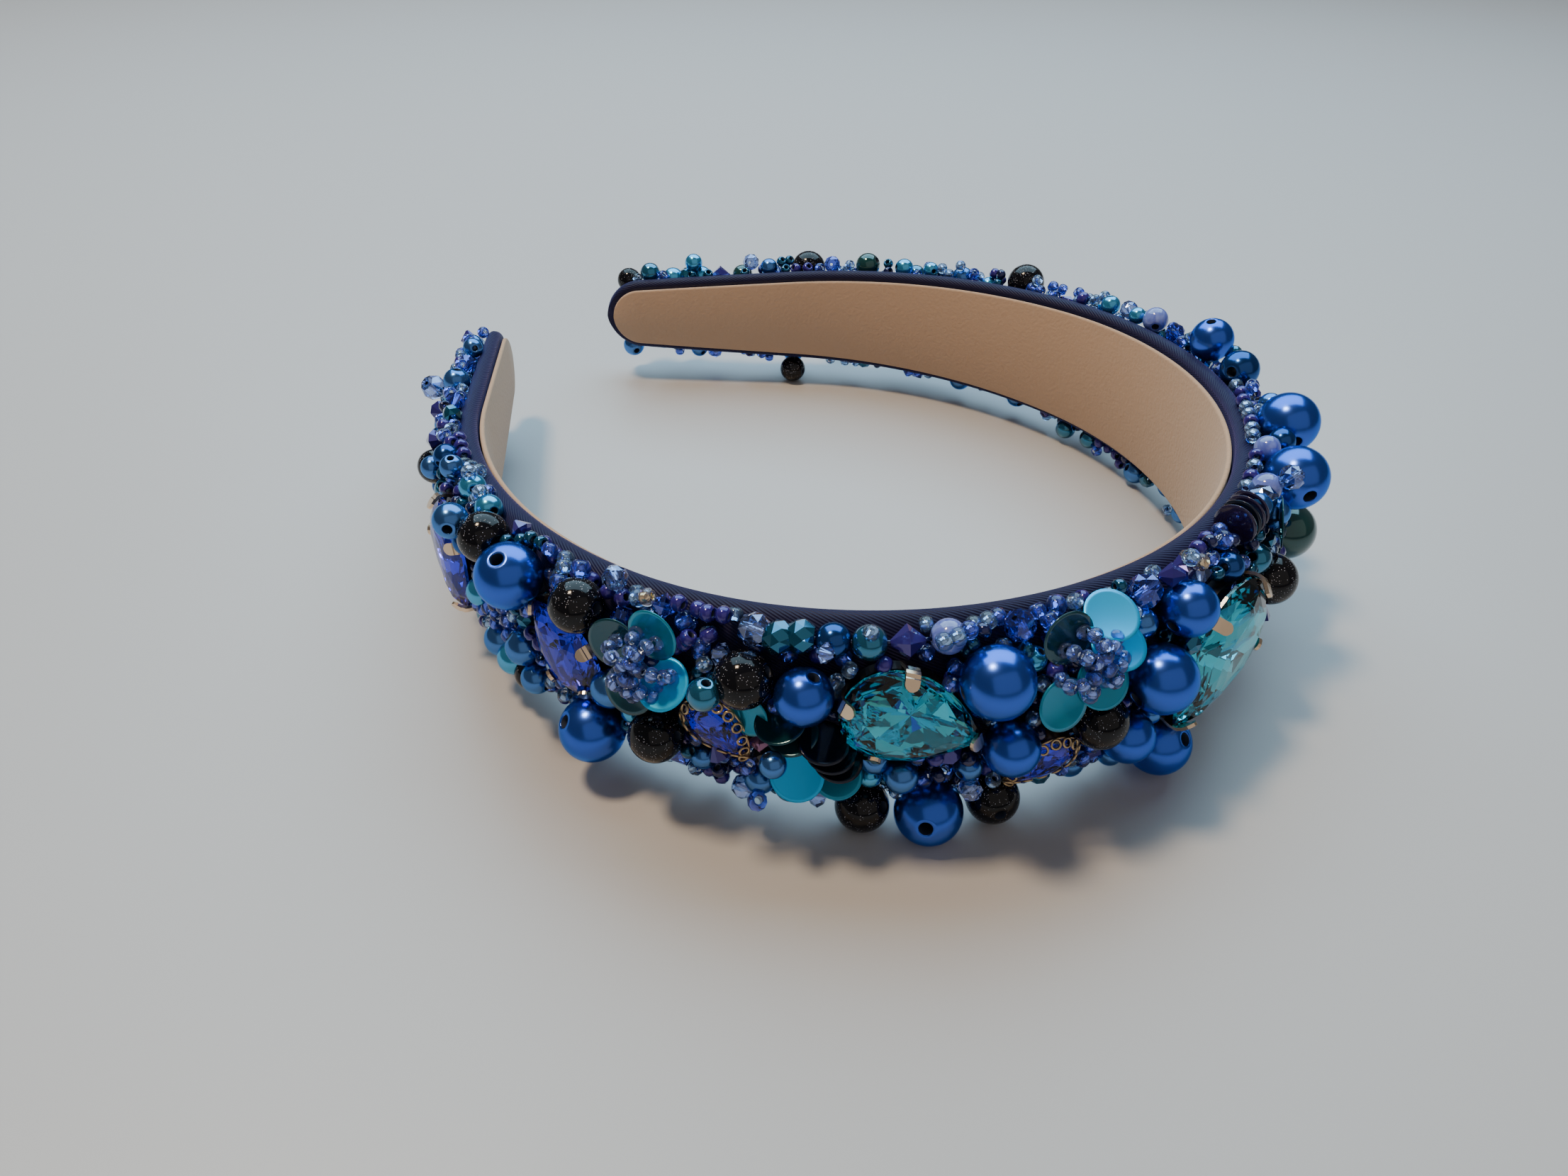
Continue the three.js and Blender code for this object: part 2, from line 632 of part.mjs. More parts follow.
function settle(beads, buffers) {
  const PASSES = 400;
  const all = [...beads, ...buffers];
  for (let pass = 0; pass < PASSES; pass++) {
    let moved = false;
    for (let i = 0; i < beads.length; i++) {
      for (let j = i + 1; j < all.length; j++) {
        const next = all[j].row && all[j].row === beads[i].row && j === i + 1;
        const wanted = beads[i].radius + all[j].radius + (next ? -ROW_OVERLAP : GAP);
        const distance = beads[i].centre.distanceTo(all[j].centre);
        if (next ? Math.abs(distance - wanted) > 0.01 : distance < wanted - 0.01) {
          pushApart(beads[i], all[j], wanted);
          moved = true;
        }
      }
    }
    if (!moved) return;
  }
}

// The beads of a row before they settle, one after another along its direction
function rowBeads(row) {
  const pitch = row.size - ROW_OVERLAP;
  const onward = (pitch * Math.cos(radians(row.turn))) / HALF_LENGTH;
  const climb = (pitch * Math.sin(radians(row.turn))) / (CROWN_WIDTH / 2);
  const beads = [];
  for (let i = 0; i < row.count; i++) {
    beads.push(looseBead({ along: row.along + i * onward, over: row.over + i * climb }, row.size, row.name));
  }
  return beads;
}

// Assembly

function material(colour) {
  return new THREE.MeshStandardMaterial(COLOURS[colour]);
}

function node(name, geometry, colour) {
  const mesh = new THREE.Mesh(geometry, material(colour));
  mesh.name = name;
  return mesh;
}

// Stands a mesh on a seat, turned about the way out of the face
function standOn(mesh, seat, turn) {
  const axes = new THREE.Matrix4().makeBasis(seat.alongWay, seat.overWay, seat.outWay);
  mesh.quaternion.setFromRotationMatrix(axes);
  mesh.rotateZ(turn);
  mesh.position.copy(seat.centre);
  return mesh;
}

// Points a bead's bore, its own Y axis, along the face by its turn and lean
function pointBore(mesh, seat, piece) {
  const turn = radians(piece.turn);
  const lean = radians(piece.lean);
  const way = seat.alongWay
    .clone()
    .multiplyScalar(Math.cos(turn) * Math.cos(lean))
    .addScaledVector(seat.overWay, Math.sin(turn) * Math.cos(lean))
    .addScaledVector(seat.outWay, Math.sin(lean));
  mesh.quaternion.setFromUnitVectors(new THREE.Vector3(0, 1, 0), way);
  mesh.position.copy(seat.centre);
  return mesh;
}

const headband = new THREE.Group();
headband.add(node("satin_band", satinBand(), "satin"));
headband.add(node("suede_lining", suedeLining(), "suede"));

for (const stone of STONES) {
  const turn = radians(stone.point);
  const seat = seatOf(stone, GAP);
  const setting = stone.setting === "lace" ? laceSetting(stone.size) : clawSetting(stone.size);
  headband.add(standOn(node(`${stone.name}_setting`, setting, "gold"), seat, turn));
  const colour = stone.name.startsWith("teal") ? "teal" : "blue";
  headband.add(standOn(node(`${stone.name}_stone`, cutStone(stone.size), colour), seat, turn));
}

for (const flower of FLOWERS) {
  headband.add(standOn(node(flower.name, sequinFlower(flower), "sequin"), seatOf(flower, GAP), 0));
}

const beads = BEADS.map((piece) => looseBead(piece, piece.size));
const rows = ROWS.map(rowBeads);
settle([...beads, ...rows.flat()], [...STONES.flatMap(stoneBuffers), ...FLOWERS.flatMap(flowerBuffers)]);

BEADS.forEach((piece, i) => {
  const large = piece.size === LARGE_BEAD;
  const geometry = drilledBead(piece.size, large ? LARGE_BORE : BORE, 10, 4);
  const colour = piece.name.startsWith("pearl") ? "pearl" : "black";
  headband.add(pointBore(node(piece.name, geometry, colour), beads[i].seat, piece));
});

ROWS.forEach((row, i) => headband.add(node(row.name, strungBeads(rows[i]), "crystal")));

// Lying down: the headband rests on the three points below it that carry its weight

// All corners of the pieces in the frame of a group
function cornersOf(group) {
  group.updateMatrixWorld(true);
  const corners = [];
  for (const mesh of group.children) {
    const positions = mesh.geometry.attributes.position;
    for (let i = 0; i < positions.count; i++) {
      corners.push(new THREE.Vector3().fromBufferAttribute(positions, i).applyMatrix4(mesh.matrixWorld));
    }
  }
  return corners;
}

// The plane through three points, facing up, if the weight's line passes between them
function planeUnder(a, b, c, weight) {
  const flat = (point) => new THREE.Vector3(point.x, point.y, 0);
  const triangle = new THREE.Triangle(flat(a), flat(b), flat(c));
  if (triangle.getArea() < 1 || !triangle.containsPoint(flat(weight))) return null;
  const plane = new THREE.Plane().setFromCoplanarPoints(a, b, c);
  return plane.normal.z < 0 ? plane.negate() : plane;
}

function heightOn(plane, point) {
  return -(plane.constant + plane.normal.x * point.x + plane.normal.y * point.y) / plane.normal.z;
}

// The lowest plane that carries the weight on three of the feet
function lowestPlane(feet, weight) {
  let lowest = null;
  for (let i = 0; i < feet.length; i++) {
    for (let j = i + 1; j < feet.length; j++) {
      for (let k = j + 1; k < feet.length; k++) {
        const plane = planeUnder(feet[i], feet[j], feet[k], weight);
        if (plane && (!lowest || heightOn(plane, weight) < heightOn(lowest, weight))) lowest = plane;
      }
    }
  }
  return lowest;
}

// The table's plane in the headband's frame: any corner found below it becomes a foot in turn
function restingPlane(corners, weight) {
  const TRIES = 40;
  const FAR = 1000;
  const feet = [
    new THREE.Vector3(-FAR, -FAR, FAR),
    new THREE.Vector3(FAR, -FAR, FAR),
    new THREE.Vector3(0, FAR, FAR),
  ];
  let plane = lowestPlane(feet, weight);
  for (let i = 0; i < TRIES; i++) {
    const deepest = corners.reduce((low, corner) =>
      plane.distanceToPoint(corner) < plane.distanceToPoint(low) ? corner : low,
    );
    if (plane.distanceToPoint(deepest) > -0.001) break;
    feet.push(deepest);
    plane = lowestPlane(feet, weight);
  }
  return plane;
}

const corners = cornersOf(headband);
const middle = new THREE.Box3().setFromPoints(corners).getCenter(new THREE.Vector3());
const table = restingPlane(corners, new THREE.Vector3(0, middle.y - WEIGHT_FORWARD, 0));
headband.quaternion.setFromUnitVectors(table.normal, new THREE.Vector3(0, 0, 1));
headband.updateMatrixWorld(true);
const lying = new THREE.Box3().setFromPoints(cornersOf(headband));

const part = new THREE.Group();
part.add(headband);
part.position.set(-(lying.min.x + lying.max.x) / 2, -(lying.min.y + lying.max.y) / 2, -lying.min.z);

export default part;
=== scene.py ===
import json
import math

import bpy
import numpy as np
from mathutils import Matrix, Vector


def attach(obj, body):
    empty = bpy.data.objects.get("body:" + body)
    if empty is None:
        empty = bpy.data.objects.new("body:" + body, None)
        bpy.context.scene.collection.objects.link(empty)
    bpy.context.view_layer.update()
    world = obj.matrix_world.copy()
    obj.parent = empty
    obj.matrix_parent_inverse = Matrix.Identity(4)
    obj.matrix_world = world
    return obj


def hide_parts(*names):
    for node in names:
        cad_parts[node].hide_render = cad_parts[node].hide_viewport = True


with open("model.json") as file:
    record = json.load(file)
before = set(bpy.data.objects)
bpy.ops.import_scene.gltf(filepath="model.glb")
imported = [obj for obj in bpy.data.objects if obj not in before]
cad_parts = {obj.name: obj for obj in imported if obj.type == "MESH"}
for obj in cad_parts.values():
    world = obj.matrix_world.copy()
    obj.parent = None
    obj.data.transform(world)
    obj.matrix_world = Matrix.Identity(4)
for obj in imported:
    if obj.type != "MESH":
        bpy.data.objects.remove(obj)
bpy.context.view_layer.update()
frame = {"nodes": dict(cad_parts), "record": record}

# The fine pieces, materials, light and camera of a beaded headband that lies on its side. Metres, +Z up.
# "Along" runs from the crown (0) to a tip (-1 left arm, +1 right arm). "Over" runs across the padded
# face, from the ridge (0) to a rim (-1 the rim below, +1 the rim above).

MM = 0.001
QUARTER = math.pi / 2


def table(columns, rows):
    """Rows of values as a list of dicts, by the names of the columns."""
    return [dict(zip(columns.split(), row)) for row in rows]


# The band, with the sizes of the solids that it replaces
CROWN_RADIUS = 63 * MM
CROWN_ANGLE = math.radians(87)
SIDE_RADIUS = 84 * MM
SIDE_ANGLE = math.radians(44)
TIP_STRAIGHT = 43 * MM
CROWN_WIDTH = 30 * MM
TIP_WIDTH = 15 * MM
CROWN_PADDING = 6.5 * MM
TIP_PADDING = 4 * MM
RIM_HEIGHT = 1.5 * MM
RIM_CHAMFER = 1.2 * MM
LINING_THICKNESS = 0.9 * MM
LINING_MARGIN = 1.6 * MM
GAP = 0.3 * MM
SOLID_STEPS = 31

CROWN_LENGTH = CROWN_RADIUS * CROWN_ANGLE
SIDE_LENGTH = SIDE_RADIUS * SIDE_ANGLE
HALF_LENGTH = CROWN_LENGTH + SIDE_LENGTH + TIP_STRAIGHT

# Drop stones: length and width at the girdle, crown above it, pavilion below it, sides round it
LARGE_DROP, MEDIUM_DROP, SMALL_DROP, LACE_DROP = table("length width crown pavilion sides", [
    (23 * MM, 17 * MM, 3 * MM, 3.4 * MM, 28),
    (18 * MM, 13 * MM, 2.4 * MM, 3 * MM, 24),
    (14 * MM, 10 * MM, 2 * MM, 2.4 * MM, 20),
    (10 * MM, 7 * MM, 1.6 * MM, 2 * MM, 16),
])
GIRDLE = 0.5 * MM
SHOULDER = {"share": 0.8, "rise": 0.62}
SETTING_WALL = 0.6 * MM
OVERHANG = 0.85 * MM
LACE_GROWTH = 0.5 * MM
COLLAR_OUT = 0.2 * MM
COLLAR_SHARE = 0.6
CLAW_WIDTH = 2 * MM
CLAW_THICKNESS = 0.5 * MM
LACE_WIDTH = 0.8 * MM

STONES = table("name size glass", [
    ("teal_drop_1", MEDIUM_DROP, "teal_glass"),
    ("teal_drop_2", LARGE_DROP, "teal_glass"),
    ("teal_drop_3", MEDIUM_DROP, "teal_glass"),
    ("blue_drop_1", SMALL_DROP, "blue_glass"),
    ("blue_drop_2", MEDIUM_DROP, "blue_glass"),
    ("blue_drop_3", SMALL_DROP, "blue_glass"),
    ("lace_drop_1", LACE_DROP, "blue_glass"),
    ("lace_drop_2", LACE_DROP, "blue_glass"),
    ("lace_drop_3", LACE_DROP, "blue_glass"),
])

# Sequin flowers: place, and each petal's direction, share of the reach, tilt upwards and finish
FLOWER_LIFT = 4.4 * MM
FLOWER_REACH = 5.6 * MM
PETAL_RADIUS = 3.8 * MM
SEQUIN_THICKNESS = 0.14 * MM
CLUSTER_REACH = 3.8 * MM
# The sky finish on the petals that tilt up is partly a paler tint and partly painted light: a brighter copy
# of the teal sequin that stands in for the window's reflection.
FIRST_PETALS = table("turn reach rise finish", [
    (160, 0.85, 0, "sequin_dark"),
    (250, 0.9, 0, "sequin_dark"),
    (70, 0.95, 0, "sequin_teal"),
    (330, 0.75, 0.8, "sequin_sky"),
])
SECOND_PETALS = table("turn reach rise finish", [
    (56, 1.15, 1.2, "sequin_sky"),
    (10, 0.85, 1.1, "sequin_sky"),
    (300, 0.8, 0.2, "sequin_teal"),
    (235, 1.2, 0, "sequin_teal"),
    (128, 0.95, 0, "sequin_dark"),
])
FLOWERS = table("name along over petals", [
    ("sequin_flower_1", -0.4, 0.3, FIRST_PETALS),
    ("sequin_flower_2", -0.144, 0.4, SECOND_PETALS),
])

# The rows of small beads: size, and the kinds that follow each other from left to right
ROW_BEAD = 5 * MM
SMALL_BEAD = 6 * MM
ROWS = table("name size kinds", [
    (
        "bead_row_1",
        ROW_BEAD,
        "rondelle_clear rondelle_teal rondelle_teal pearl_navy round_teal bicone_purple marble",
    ),
    ("bead_row_2", ROW_BEAD, "pearl_small round_teal bicone_blue pearl_small"),
    ("bead_row_3", ROW_BEAD, "round_teal pearl_small rondelle_clear marble"),
    ("bead_row_4", ROW_BEAD, "round_green bicone_purple pearl_sky rondelle_teal pearl_sky"),
    ("bead_row_5", ROW_BEAD, "rondelle_clear pearl_sky rondelle_clear bicone_purple rondelle_teal"),
    ("bead_row_6", SMALL_BEAD, "pearl_small pearl_sky round_black"),
    ("bead_row_7", SMALL_BEAD, "pearl_small pearl_navy round_teal pearl_small"),
])

# Single small beads and crystals that show, by kind, diameter and place
SINGLES = table("kind size_mm along over", [
    ("seed_sapphire", 3.2, -0.381, 0.61),
    ("seed_purple", 2.3, -0.43, 0.66),
    ("seed_sky", 2.3, -0.42, 0.75),
    ("seed_sky", 2.3, -0.41, 0.64),
    ("seed_purple", 2.3, -0.366, 0.72),
    ("seed_sky", 2.4, -0.366, 0.55),
    ("seed_sky", 2.3, -0.351, 0.77),
    ("bicone_blue", 4, -0.396, 0.7),
    ("bicone_clear", 3, -0.292, 0.6),
    ("seed_sky", 2.3, -0.268, 0.72),
    ("round_teal", 4.6, -0.356, 0.28),
    ("pearl_navy", 4, -0.381, 0.16),
    ("bicone_clear", 3.4, -0.356, 0.42),
    ("bicone_blue", 4, -0.391, -0.7),
    ("pearl_small", 4.2, -0.371, -0.5),
    ("bicone_pink", 3.4, -0.332, -0.2),
    ("rondelle_smoky", 2.8, -0.332, -0.4),
    ("seed_sapphire", 3, -0.332, -0.62),
    ("bicone_clear", 4, -0.297, -0.8),
    ("pearl_small", 3.8, -0.318, -0.1),
    ("pearl_small", 4.2, -0.262, -0.24),
    ("pearl_small", 4.2, -0.204, -0.36),
    ("pearl_small", 4.6, -0.12, -0.82),
    ("pearl_navy", 3.4, -0.16, -0.86),
    ("bicone_purple", 4, -0.115, -0.54),
    ("rondelle_blue", 4.6, -0.179, 0.68),
    ("rondelle_blue", 5, -0.092, 0.68),
    ("pearl_small", 4.4, -0.096, 0.45),
    ("seed_sky", 2.5, -0.076, 0.78),
    ("bicone_purple", 4.4, -0.057, 0.7),
    ("bicone_clear", 4, -0.042, 0.58),
    ("seed_gold", 2.4, -0.042, 0.76),
    ("pearl_navy", 4.6, -0.017, 0.53),
    ("round_teal", 5, 0.027, 0.36),
    ("rondelle_clear", 4, 0.071, 0.74),
    ("marble", 4.2, 0.125, 0.8),
    ("pearl_navy", 7, 0.263, 0.74),
    ("round_teal", 3.2, 0.3, 0.62),
    ("marble", 5, 0.381, 0.78),
    ("pearl_sky", 3.4, 0.4, 0.8),
    ("pearl_sky", 4, 0.435, 0.76),
    ("seed_purple", 3, 0.464, 0.8),
    ("pearl_sky", 3.4, 0.636, 0.76),
    ("pearl_sky", 4.2, 0.666, 0.7),
    ("round_green", 5.6, 0.706, 0.66),
    ("pearl_sky", 4, 0.9, 0.76),
    ("round_teal", 4.6, 0.95, 0.72),
    ("round_black", 5.6, 0.976, 0.5),
    ("pearl_sky", 4.4, -0.612, 0.76),
    ("pearl_sky", 4.4, -0.577, 0.74),
    ("pearl_small", 5.6, -0.577, 0.58),
    ("bicone_purple", 3.6, -0.533, 0.78),
    ("pearl_navy", 3.6, -0.53, 0.6),
    ("pearl_sky", 5, -0.582, -0.1),
    ("round_teal", 4.6, -0.61, -0.62),
    ("pearl_small", 6, -0.518, -0.2),
    ("pearl_small", 6, -0.43, -0.06),
    ("rondelle_clear", 5, -0.867, 0.3),
    ("pearl_sky", 4, -0.95, -0.1),
    ("rondelle_teal", 4, -0.8, 0.2),
])

# Stitches of seed beads that show: where each starts and ends, and the seeds between, in turn
STITCHES = table("start end count kinds", [
    ((-0.228, 0.66), (-0.19, 0.78), 6, "seed_sky seed_sky seed_sapphire"),
    ((-0.509, 0.79), (-0.494, 0.74), 2, "seed_purple"),
    ((-0.484, 0.77), (-0.478, 0.7), 2, "seed_sky"),
    ((-0.469, 0.7), (-0.456, 0.68), 2, "seed_purple"),
    ((-0.425, 0.66), (-0.405, 0.74), 3, "seed_purple seed_sky seed_gold"),
    ((-0.656, 0.78), (-0.631, 0.92), 3, "seed_sky"),
    ((-0.612, 0.86), (-0.585, 0.82), 3, "seed_sky seed_sapphire seed_sky"),
    ((-0.7, 0.84), (-0.67, 0.84), 3, "seed_purple"),
    ((-0.362, -0.72), (-0.318, -0.88), 5, "seed_purple"),
    ((-0.037, 0.79), (-0.018, 0.8), 2, "seed_purple"),
    ((-0.057, 0.78), (-0.05, 0.72), 2, "seed_sky seed_gold"),
    ((0.204, 0.92), (0.14, 0.94), 6, "seed_purple seed_sky seed_sky"),
    ((0.243, 0.78), (0.21, 0.7), 4, "seed_sky seed_purple"),
    ((0.11, 0.88), (0.06, 0.87), 4, "seed_purple seed_sky"),
])

# Loose sequins: place, height of the middle, tilt about the ways along and over, and finish
# The sky finish here is also partly painted light, brighter than the teal sequins to stand in for reflected
# light.
LOOSE_SEQUINS = table("along over lift_mm lean radius_mm finish", [
    (-0.307, -0.31, 4.6, (40, 0), 3.8, "sequin_sky"),
    (-0.284, -0.36, 3, (60, 8), 3.6, "sequin_teal"),
    (-0.337, 0.03, 2.4, (10, -12), 3, "sequin_teal"),
    (-0.317, 0.05, 3.4, (72, -8), 3.6, "sequin_dark"),
    (-0.31, -0.01, 3.6, (70, -4), 3.6, "sequin_dark"),
    (-0.292, -0.02, 4.6, (76, 8), 3.5, "sequin_black"),
    (-0.288, -0.08, 4.6, (76, 10), 3.5, "sequin_black"),
    (-0.284, -0.14, 4.6, (76, 12), 3.5, "sequin_black"),
    (0.052, 0.52, 4.6, (-8, 16), 4, "sequin_dark"),
    (0.03, 0.76, 2.6, (0, 76), 3.2, "sequin_plum"),
    (0.022, 0.76, 2.6, (0, 80), 3.2, "sequin_plum"),
    (0.014, 0.76, 2.6, (0, 84), 3.2, "sequin_black"),
    (0.006, 0.76, 2.6, (0, 88), 3.2, "sequin_plum"),
    (0.096, 0.18, 3.4, (0, 0), 3.8, "sequin_dark"),
    (0.45, 0.4, 3, (8, -10), 3.8, "sequin_sky"),
    (0.68, -0.1, 2.6, (-6, 10), 3.8, "sequin_teal"),
    (0.36, -0.3, 3, (6, 8), 3.8, "sequin_dark"),
    (-0.83, 0.0, 2.4, (0, 8), 3.4, "sequin_teal"),
])

RANDOM_SEED = 7


# The band's own frame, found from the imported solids

def corners(node):
    """The corners of a solid, each one once."""
    mesh = frame["nodes"][node].data
    points = np.array([vertex.co for vertex in mesh.vertices])
    return np.unique(points.round(6), axis=0)


def band_frame():
    seat = next(mount for mount in frame["record"]["mounts"] if mount["name"] == "head_seat")
    points = corners("satin_band")
    spread, ways = np.linalg.eigh(np.cov(points.T))
    across = ways[:, np.argmin(spread)]
    across = across * np.sign(across[2])
    back = np.array(seat["axis"], dtype=float)
    back -= across * back.dot(across)
    back /= np.linalg.norm(back)
    side = np.cross(back, across)
    step = (HALF_LENGTH - TIP_WIDTH / 2) / SOLID_STEPS / CROWN_RADIUS
    facet = CROWN_RADIUS - (CROWN_RADIUS - GAP - LINING_THICKNESS) * math.cos(step)
    return np.array(seat["pos_m"]) - back * facet, np.array([side, back, across])


BAND_ORIGIN, BAND_WAYS = band_frame()


def line_at(s):
    """The band's line at a distance from the crown: x, y and heading."""
    distance = np.abs(s)
    crown_turn = np.minimum(distance, CROWN_LENGTH) / CROWN_RADIUS
    heading = crown_turn + np.clip(distance - CROWN_LENGTH, 0, SIDE_LENGTH) / SIDE_RADIUS
    on_tip = np.maximum(distance - CROWN_LENGTH - SIDE_LENGTH, 0)
    x = (
        CROWN_RADIUS * np.sin(crown_turn)
        + SIDE_RADIUS * (np.sin(heading) - np.sin(crown_turn))
        + on_tip * np.cos(heading)
    )
    y = (
        CROWN_RADIUS * (1 - np.cos(crown_turn))
        + SIDE_RADIUS * (np.cos(crown_turn) - np.cos(heading))
        + on_tip * np.sin(heading)
    )
    side = np.where(s < 0, -1.0, 1.0)
    return side * x, y, side * heading


def half_width_at(s):
    return (TIP_WIDTH + (CROWN_WIDTH - TIP_WIDTH) * (1 - (s / HALF_LENGTH) ** 2)) / 2


def padding_at(s):
    return CROWN_PADDING + (TIP_PADDING - CROWN_PADDING) * (s / HALF_LENGTH) ** 2


def tip_closing(s, end, half):
    """The share of the width that a round tip leaves."""
    into = np.clip((np.abs(s) - (end - half)) / half, 0, 1)
    return np.sqrt(1 - into**2)


def to_world(x, y, z):
    x, y, z = np.broadcast_arrays(x, y, z)
    return BAND_ORIGIN + np.stack([x, y, z], axis=-1) @ BAND_WAYS


def band_point(s, across, out):
    x, y, heading = line_at(s)
    return to_world(x + out * np.sin(heading), y - out * np.cos(heading), across)


def seat_at(s, angle, height):
    """Where a piece sits at a height on the padded face: centre, and the ways along, over and out."""
    s, angle, height = np.broadcast_arrays(np.float64(s), np.float64(angle), np.float64(height))
    half = half_width_at(s)
    dome = padding_at(s) - RIM_HEIGHT
    slope = np.arctan2(dome * np.sin(angle), half * np.cos(angle))
    _, _, heading = line_at(s)
    along = np.stack([np.cos(heading), np.sin(heading), 0 * heading], axis=-1) @ BAND_WAYS
    level = np.stack([np.sin(heading), -np.cos(heading), 0 * heading], axis=-1) @ BAND_WAYS
    up = BAND_WAYS[2]
    out = level * np.cos(slope)[..., None] + up * np.sin(slope)[..., None]
    over = up * np.cos(slope)[..., None] - level * np.sin(slope)[..., None]
    centre = band_point(s, half * np.sin(angle), RIM_HEIGHT + dome * np.cos(angle)) + out * height[..., None]
    return centre, along, over, out


# Shapes as (corners, faces, part of each face)

def grid_faces(rows, columns, closed):
    """Four-sided faces between rings of corners, one ring in a row; closed joins the last to the first."""
    faces = []
    for k in range(rows if closed else rows - 1):
        here, ahead = k * columns, (k + 1) % rows * columns
        for i in range(columns):
            beside = (i + 1) % columns
            faces.append((here + i, here + beside, ahead + beside, ahead + i))
    return faces


def distances_along(path):
    """How far each point of a path lies from its start, along the path."""
    steps = np.linalg.norm(np.diff(path, axis=0), axis=1)
    return np.concatenate([[0], np.cumsum(steps)])


def turned(profile, sides):
    """A closed profile of (radius, height) turned about Z."""
    turns = np.arange(sides) * 2 * math.pi / sides
    profile = np.array(profile)
    count = len(profile)
    points = np.stack(
        [
            np.outer(np.cos(turns), profile[:, 0]),
            np.outer(np.sin(turns), profile[:, 0]),
            np.outer(np.ones(sides), profile[:, 1]),
        ],
        axis=-1,
    ).reshape(-1, 3)
    i, j = np.meshgrid(np.arange(sides), np.arange(count), indexing="ij")
    next_i = (i + 1) % sides
    next_j = (j + 1) % count
    quads = [i * count + j, next_i * count + j, next_i * count + next_j, i * count + next_j]
    return points, np.stack(quads, axis=-1).reshape(-1, 4), np.tile(np.arange(count), sides)


def drilled_bead(radius, bore, sides, steps):
    """A round bead; its parts are 0 outside and 1 in the bore."""
    lip = 0.12 * bore
    start = math.asin((bore + lip) / radius)
    arc = np.linspace(math.pi - start, start, steps)
    profile = [(radius * math.sin(a), radius * math.cos(a)) for a in arc]
    top = profile[-1][1] - lip
    profile += [(bore, top), (0.96 * bore, 0.0), (bore, -top)]
    points, faces, parts = turned(profile, sides)
    return points, faces, (parts >= steps) & (parts < steps + 2)


def mirrored(lower):
    """The upper half of a profile whose halves are alike."""
    return [(reach, -height) for reach, height in reversed(lower)]


def seed_bead(radius, length, bore, sides=10):
    """A small rounded ring; its parts are 0 outside and 1 in the bore."""
    half = length / 2
    shoulder = bore + (radius - bore) * 0.4
    lower = [(bore, -half * 0.8), (shoulder, -half), (radius * 0.92, -half * 0.55)]
    profile = lower + [(radius, 0.0)] + mirrored(lower)
    points, faces, parts = turned(profile, sides)
    return points, faces, parts == len(profile) - 1


def zigzag(rings, phases, sides):
    """Rings of (radius, height), each turned by its phase, joined by triangles, and a bore through them."""
    points = []
    for (radius, height), phase in zip(rings, phases):
        turns = (np.arange(sides) + phase) * 2 * math.pi / sides
        ring = [radius * np.cos(turns), radius * np.sin(turns), np.full(sides, height)]
        points.append(np.stack(ring, axis=-1))
    faces = []
    parts = []
    count = len(rings)
    for k in range(count):
        lower = k * sides
        upper = ((k + 1) % count) * sides
        for i in range(sides):
            a, b = lower + i, lower + (i + 1) % sides
            c, d = upper + i, upper + (i + 1) % sides
            if phases[(k + 1) % count] > phases[k]:
                faces += [(a, b, c), (b, d, c)]
            elif phases[(k + 1) % count] < phases[k]:
                faces += [(a, d, c), (a, b, d)]
            else:
                faces += [(a, b, d), (a, d, c)]
            parts += [k == count - 1] * 2
    return np.concatenate(points), faces, np.array(parts)


def rondelle(radius, thickness, bore, sides=8):
    half = thickness / 2
    lower = [(bore, -half), (radius * 0.62, -half), (radius * 0.97, -half * 0.3)]
    return zigzag(lower + mirrored(lower), [0, 0, 0.5, 0, 0.5, 0.5], sides)


def bicone(radius, bore, sides=8):
    half = radius * 0.95
    rings = [(bore, -half), (radius, 0.0), (bore, half)]
    return zigzag(rings, [0, 0, 0], sides)


def sequin(radius, cup):
    """A cupped round sequin, closed over its middle."""
    reaches = np.linspace(0.02, 1, 8) * radius
    heights = cup * (reaches / radius) ** 2
    under = list(zip(reaches, heights - SEQUIN_THICKNESS))
    upper = list(zip(reaches[::-1], heights[::-1]))
    points, faces, parts = turned(under + upper, 36)
    count = len(under) + len(upper)
    middle_under = tuple(range(0, len(points), count))[::-1]
    middle_upper = tuple(range(count - 1, len(points), count))
    kept = parts != count - 1
    faces = [tuple(face) for face in faces[kept]] + [middle_under, middle_upper]
    return points, faces, np.zeros(len(faces), dtype=int)


def tube(path, radius, sides, closed=False):
    """A round wire through points."""
    path = np.array(path)
    count = len(path)
    ways = np.roll(path, -1, axis=0) - np.roll(path, 1, axis=0)
    if not closed:
        ways[0] = path[1] - path[0]
        ways[-1] = path[-1] - path[-2]
    ways /= np.linalg.norm(ways, axis=1)[:, None]
    aside = np.cross(ways[0], [0.3, 0.5, 0.8])
    points = []
    for k in range(count):
        aside = aside - ways[k] * aside.dot(ways[k])
        aside /= np.linalg.norm(aside)
        other = np.cross(ways[k], aside)
        for i in range(sides):
            turn = 2 * math.pi * i / sides
            points.append(path[k] + radius * (math.cos(turn) * aside + math.sin(turn) * other))
    faces = grid_faces(count, sides, closed)
    if not closed:
        faces.append(tuple(range(sides))[::-1])
        faces.append(tuple(range((count - 1) * sides, count * sides)))
    return np.array(points), faces, np.zeros(len(faces), dtype=int)


def ring_between(faces, lower, upper):
    """Triangles between two rings of a cut stone, by nearest share of the turn."""
    i = j = 0
    while i < lower["count"] or j < upper["count"]:
        a = lower["first"] + i % lower["count"]
        b = upper["first"] + j % upper["count"]
        next_lower = (i + 1 + lower["phase"]) / lower["count"]
        next_upper = (j + 1 + upper["phase"]) / upper["count"]
        if j >= upper["count"] or (i < lower["count"] and next_lower <= next_upper):
            faces.append((a, lower["first"] + (i + 1) % lower["count"], b))
            i += 1
        else:
            faces.append((a, upper["first"] + (j + 1) % upper["count"], b))
            j += 1


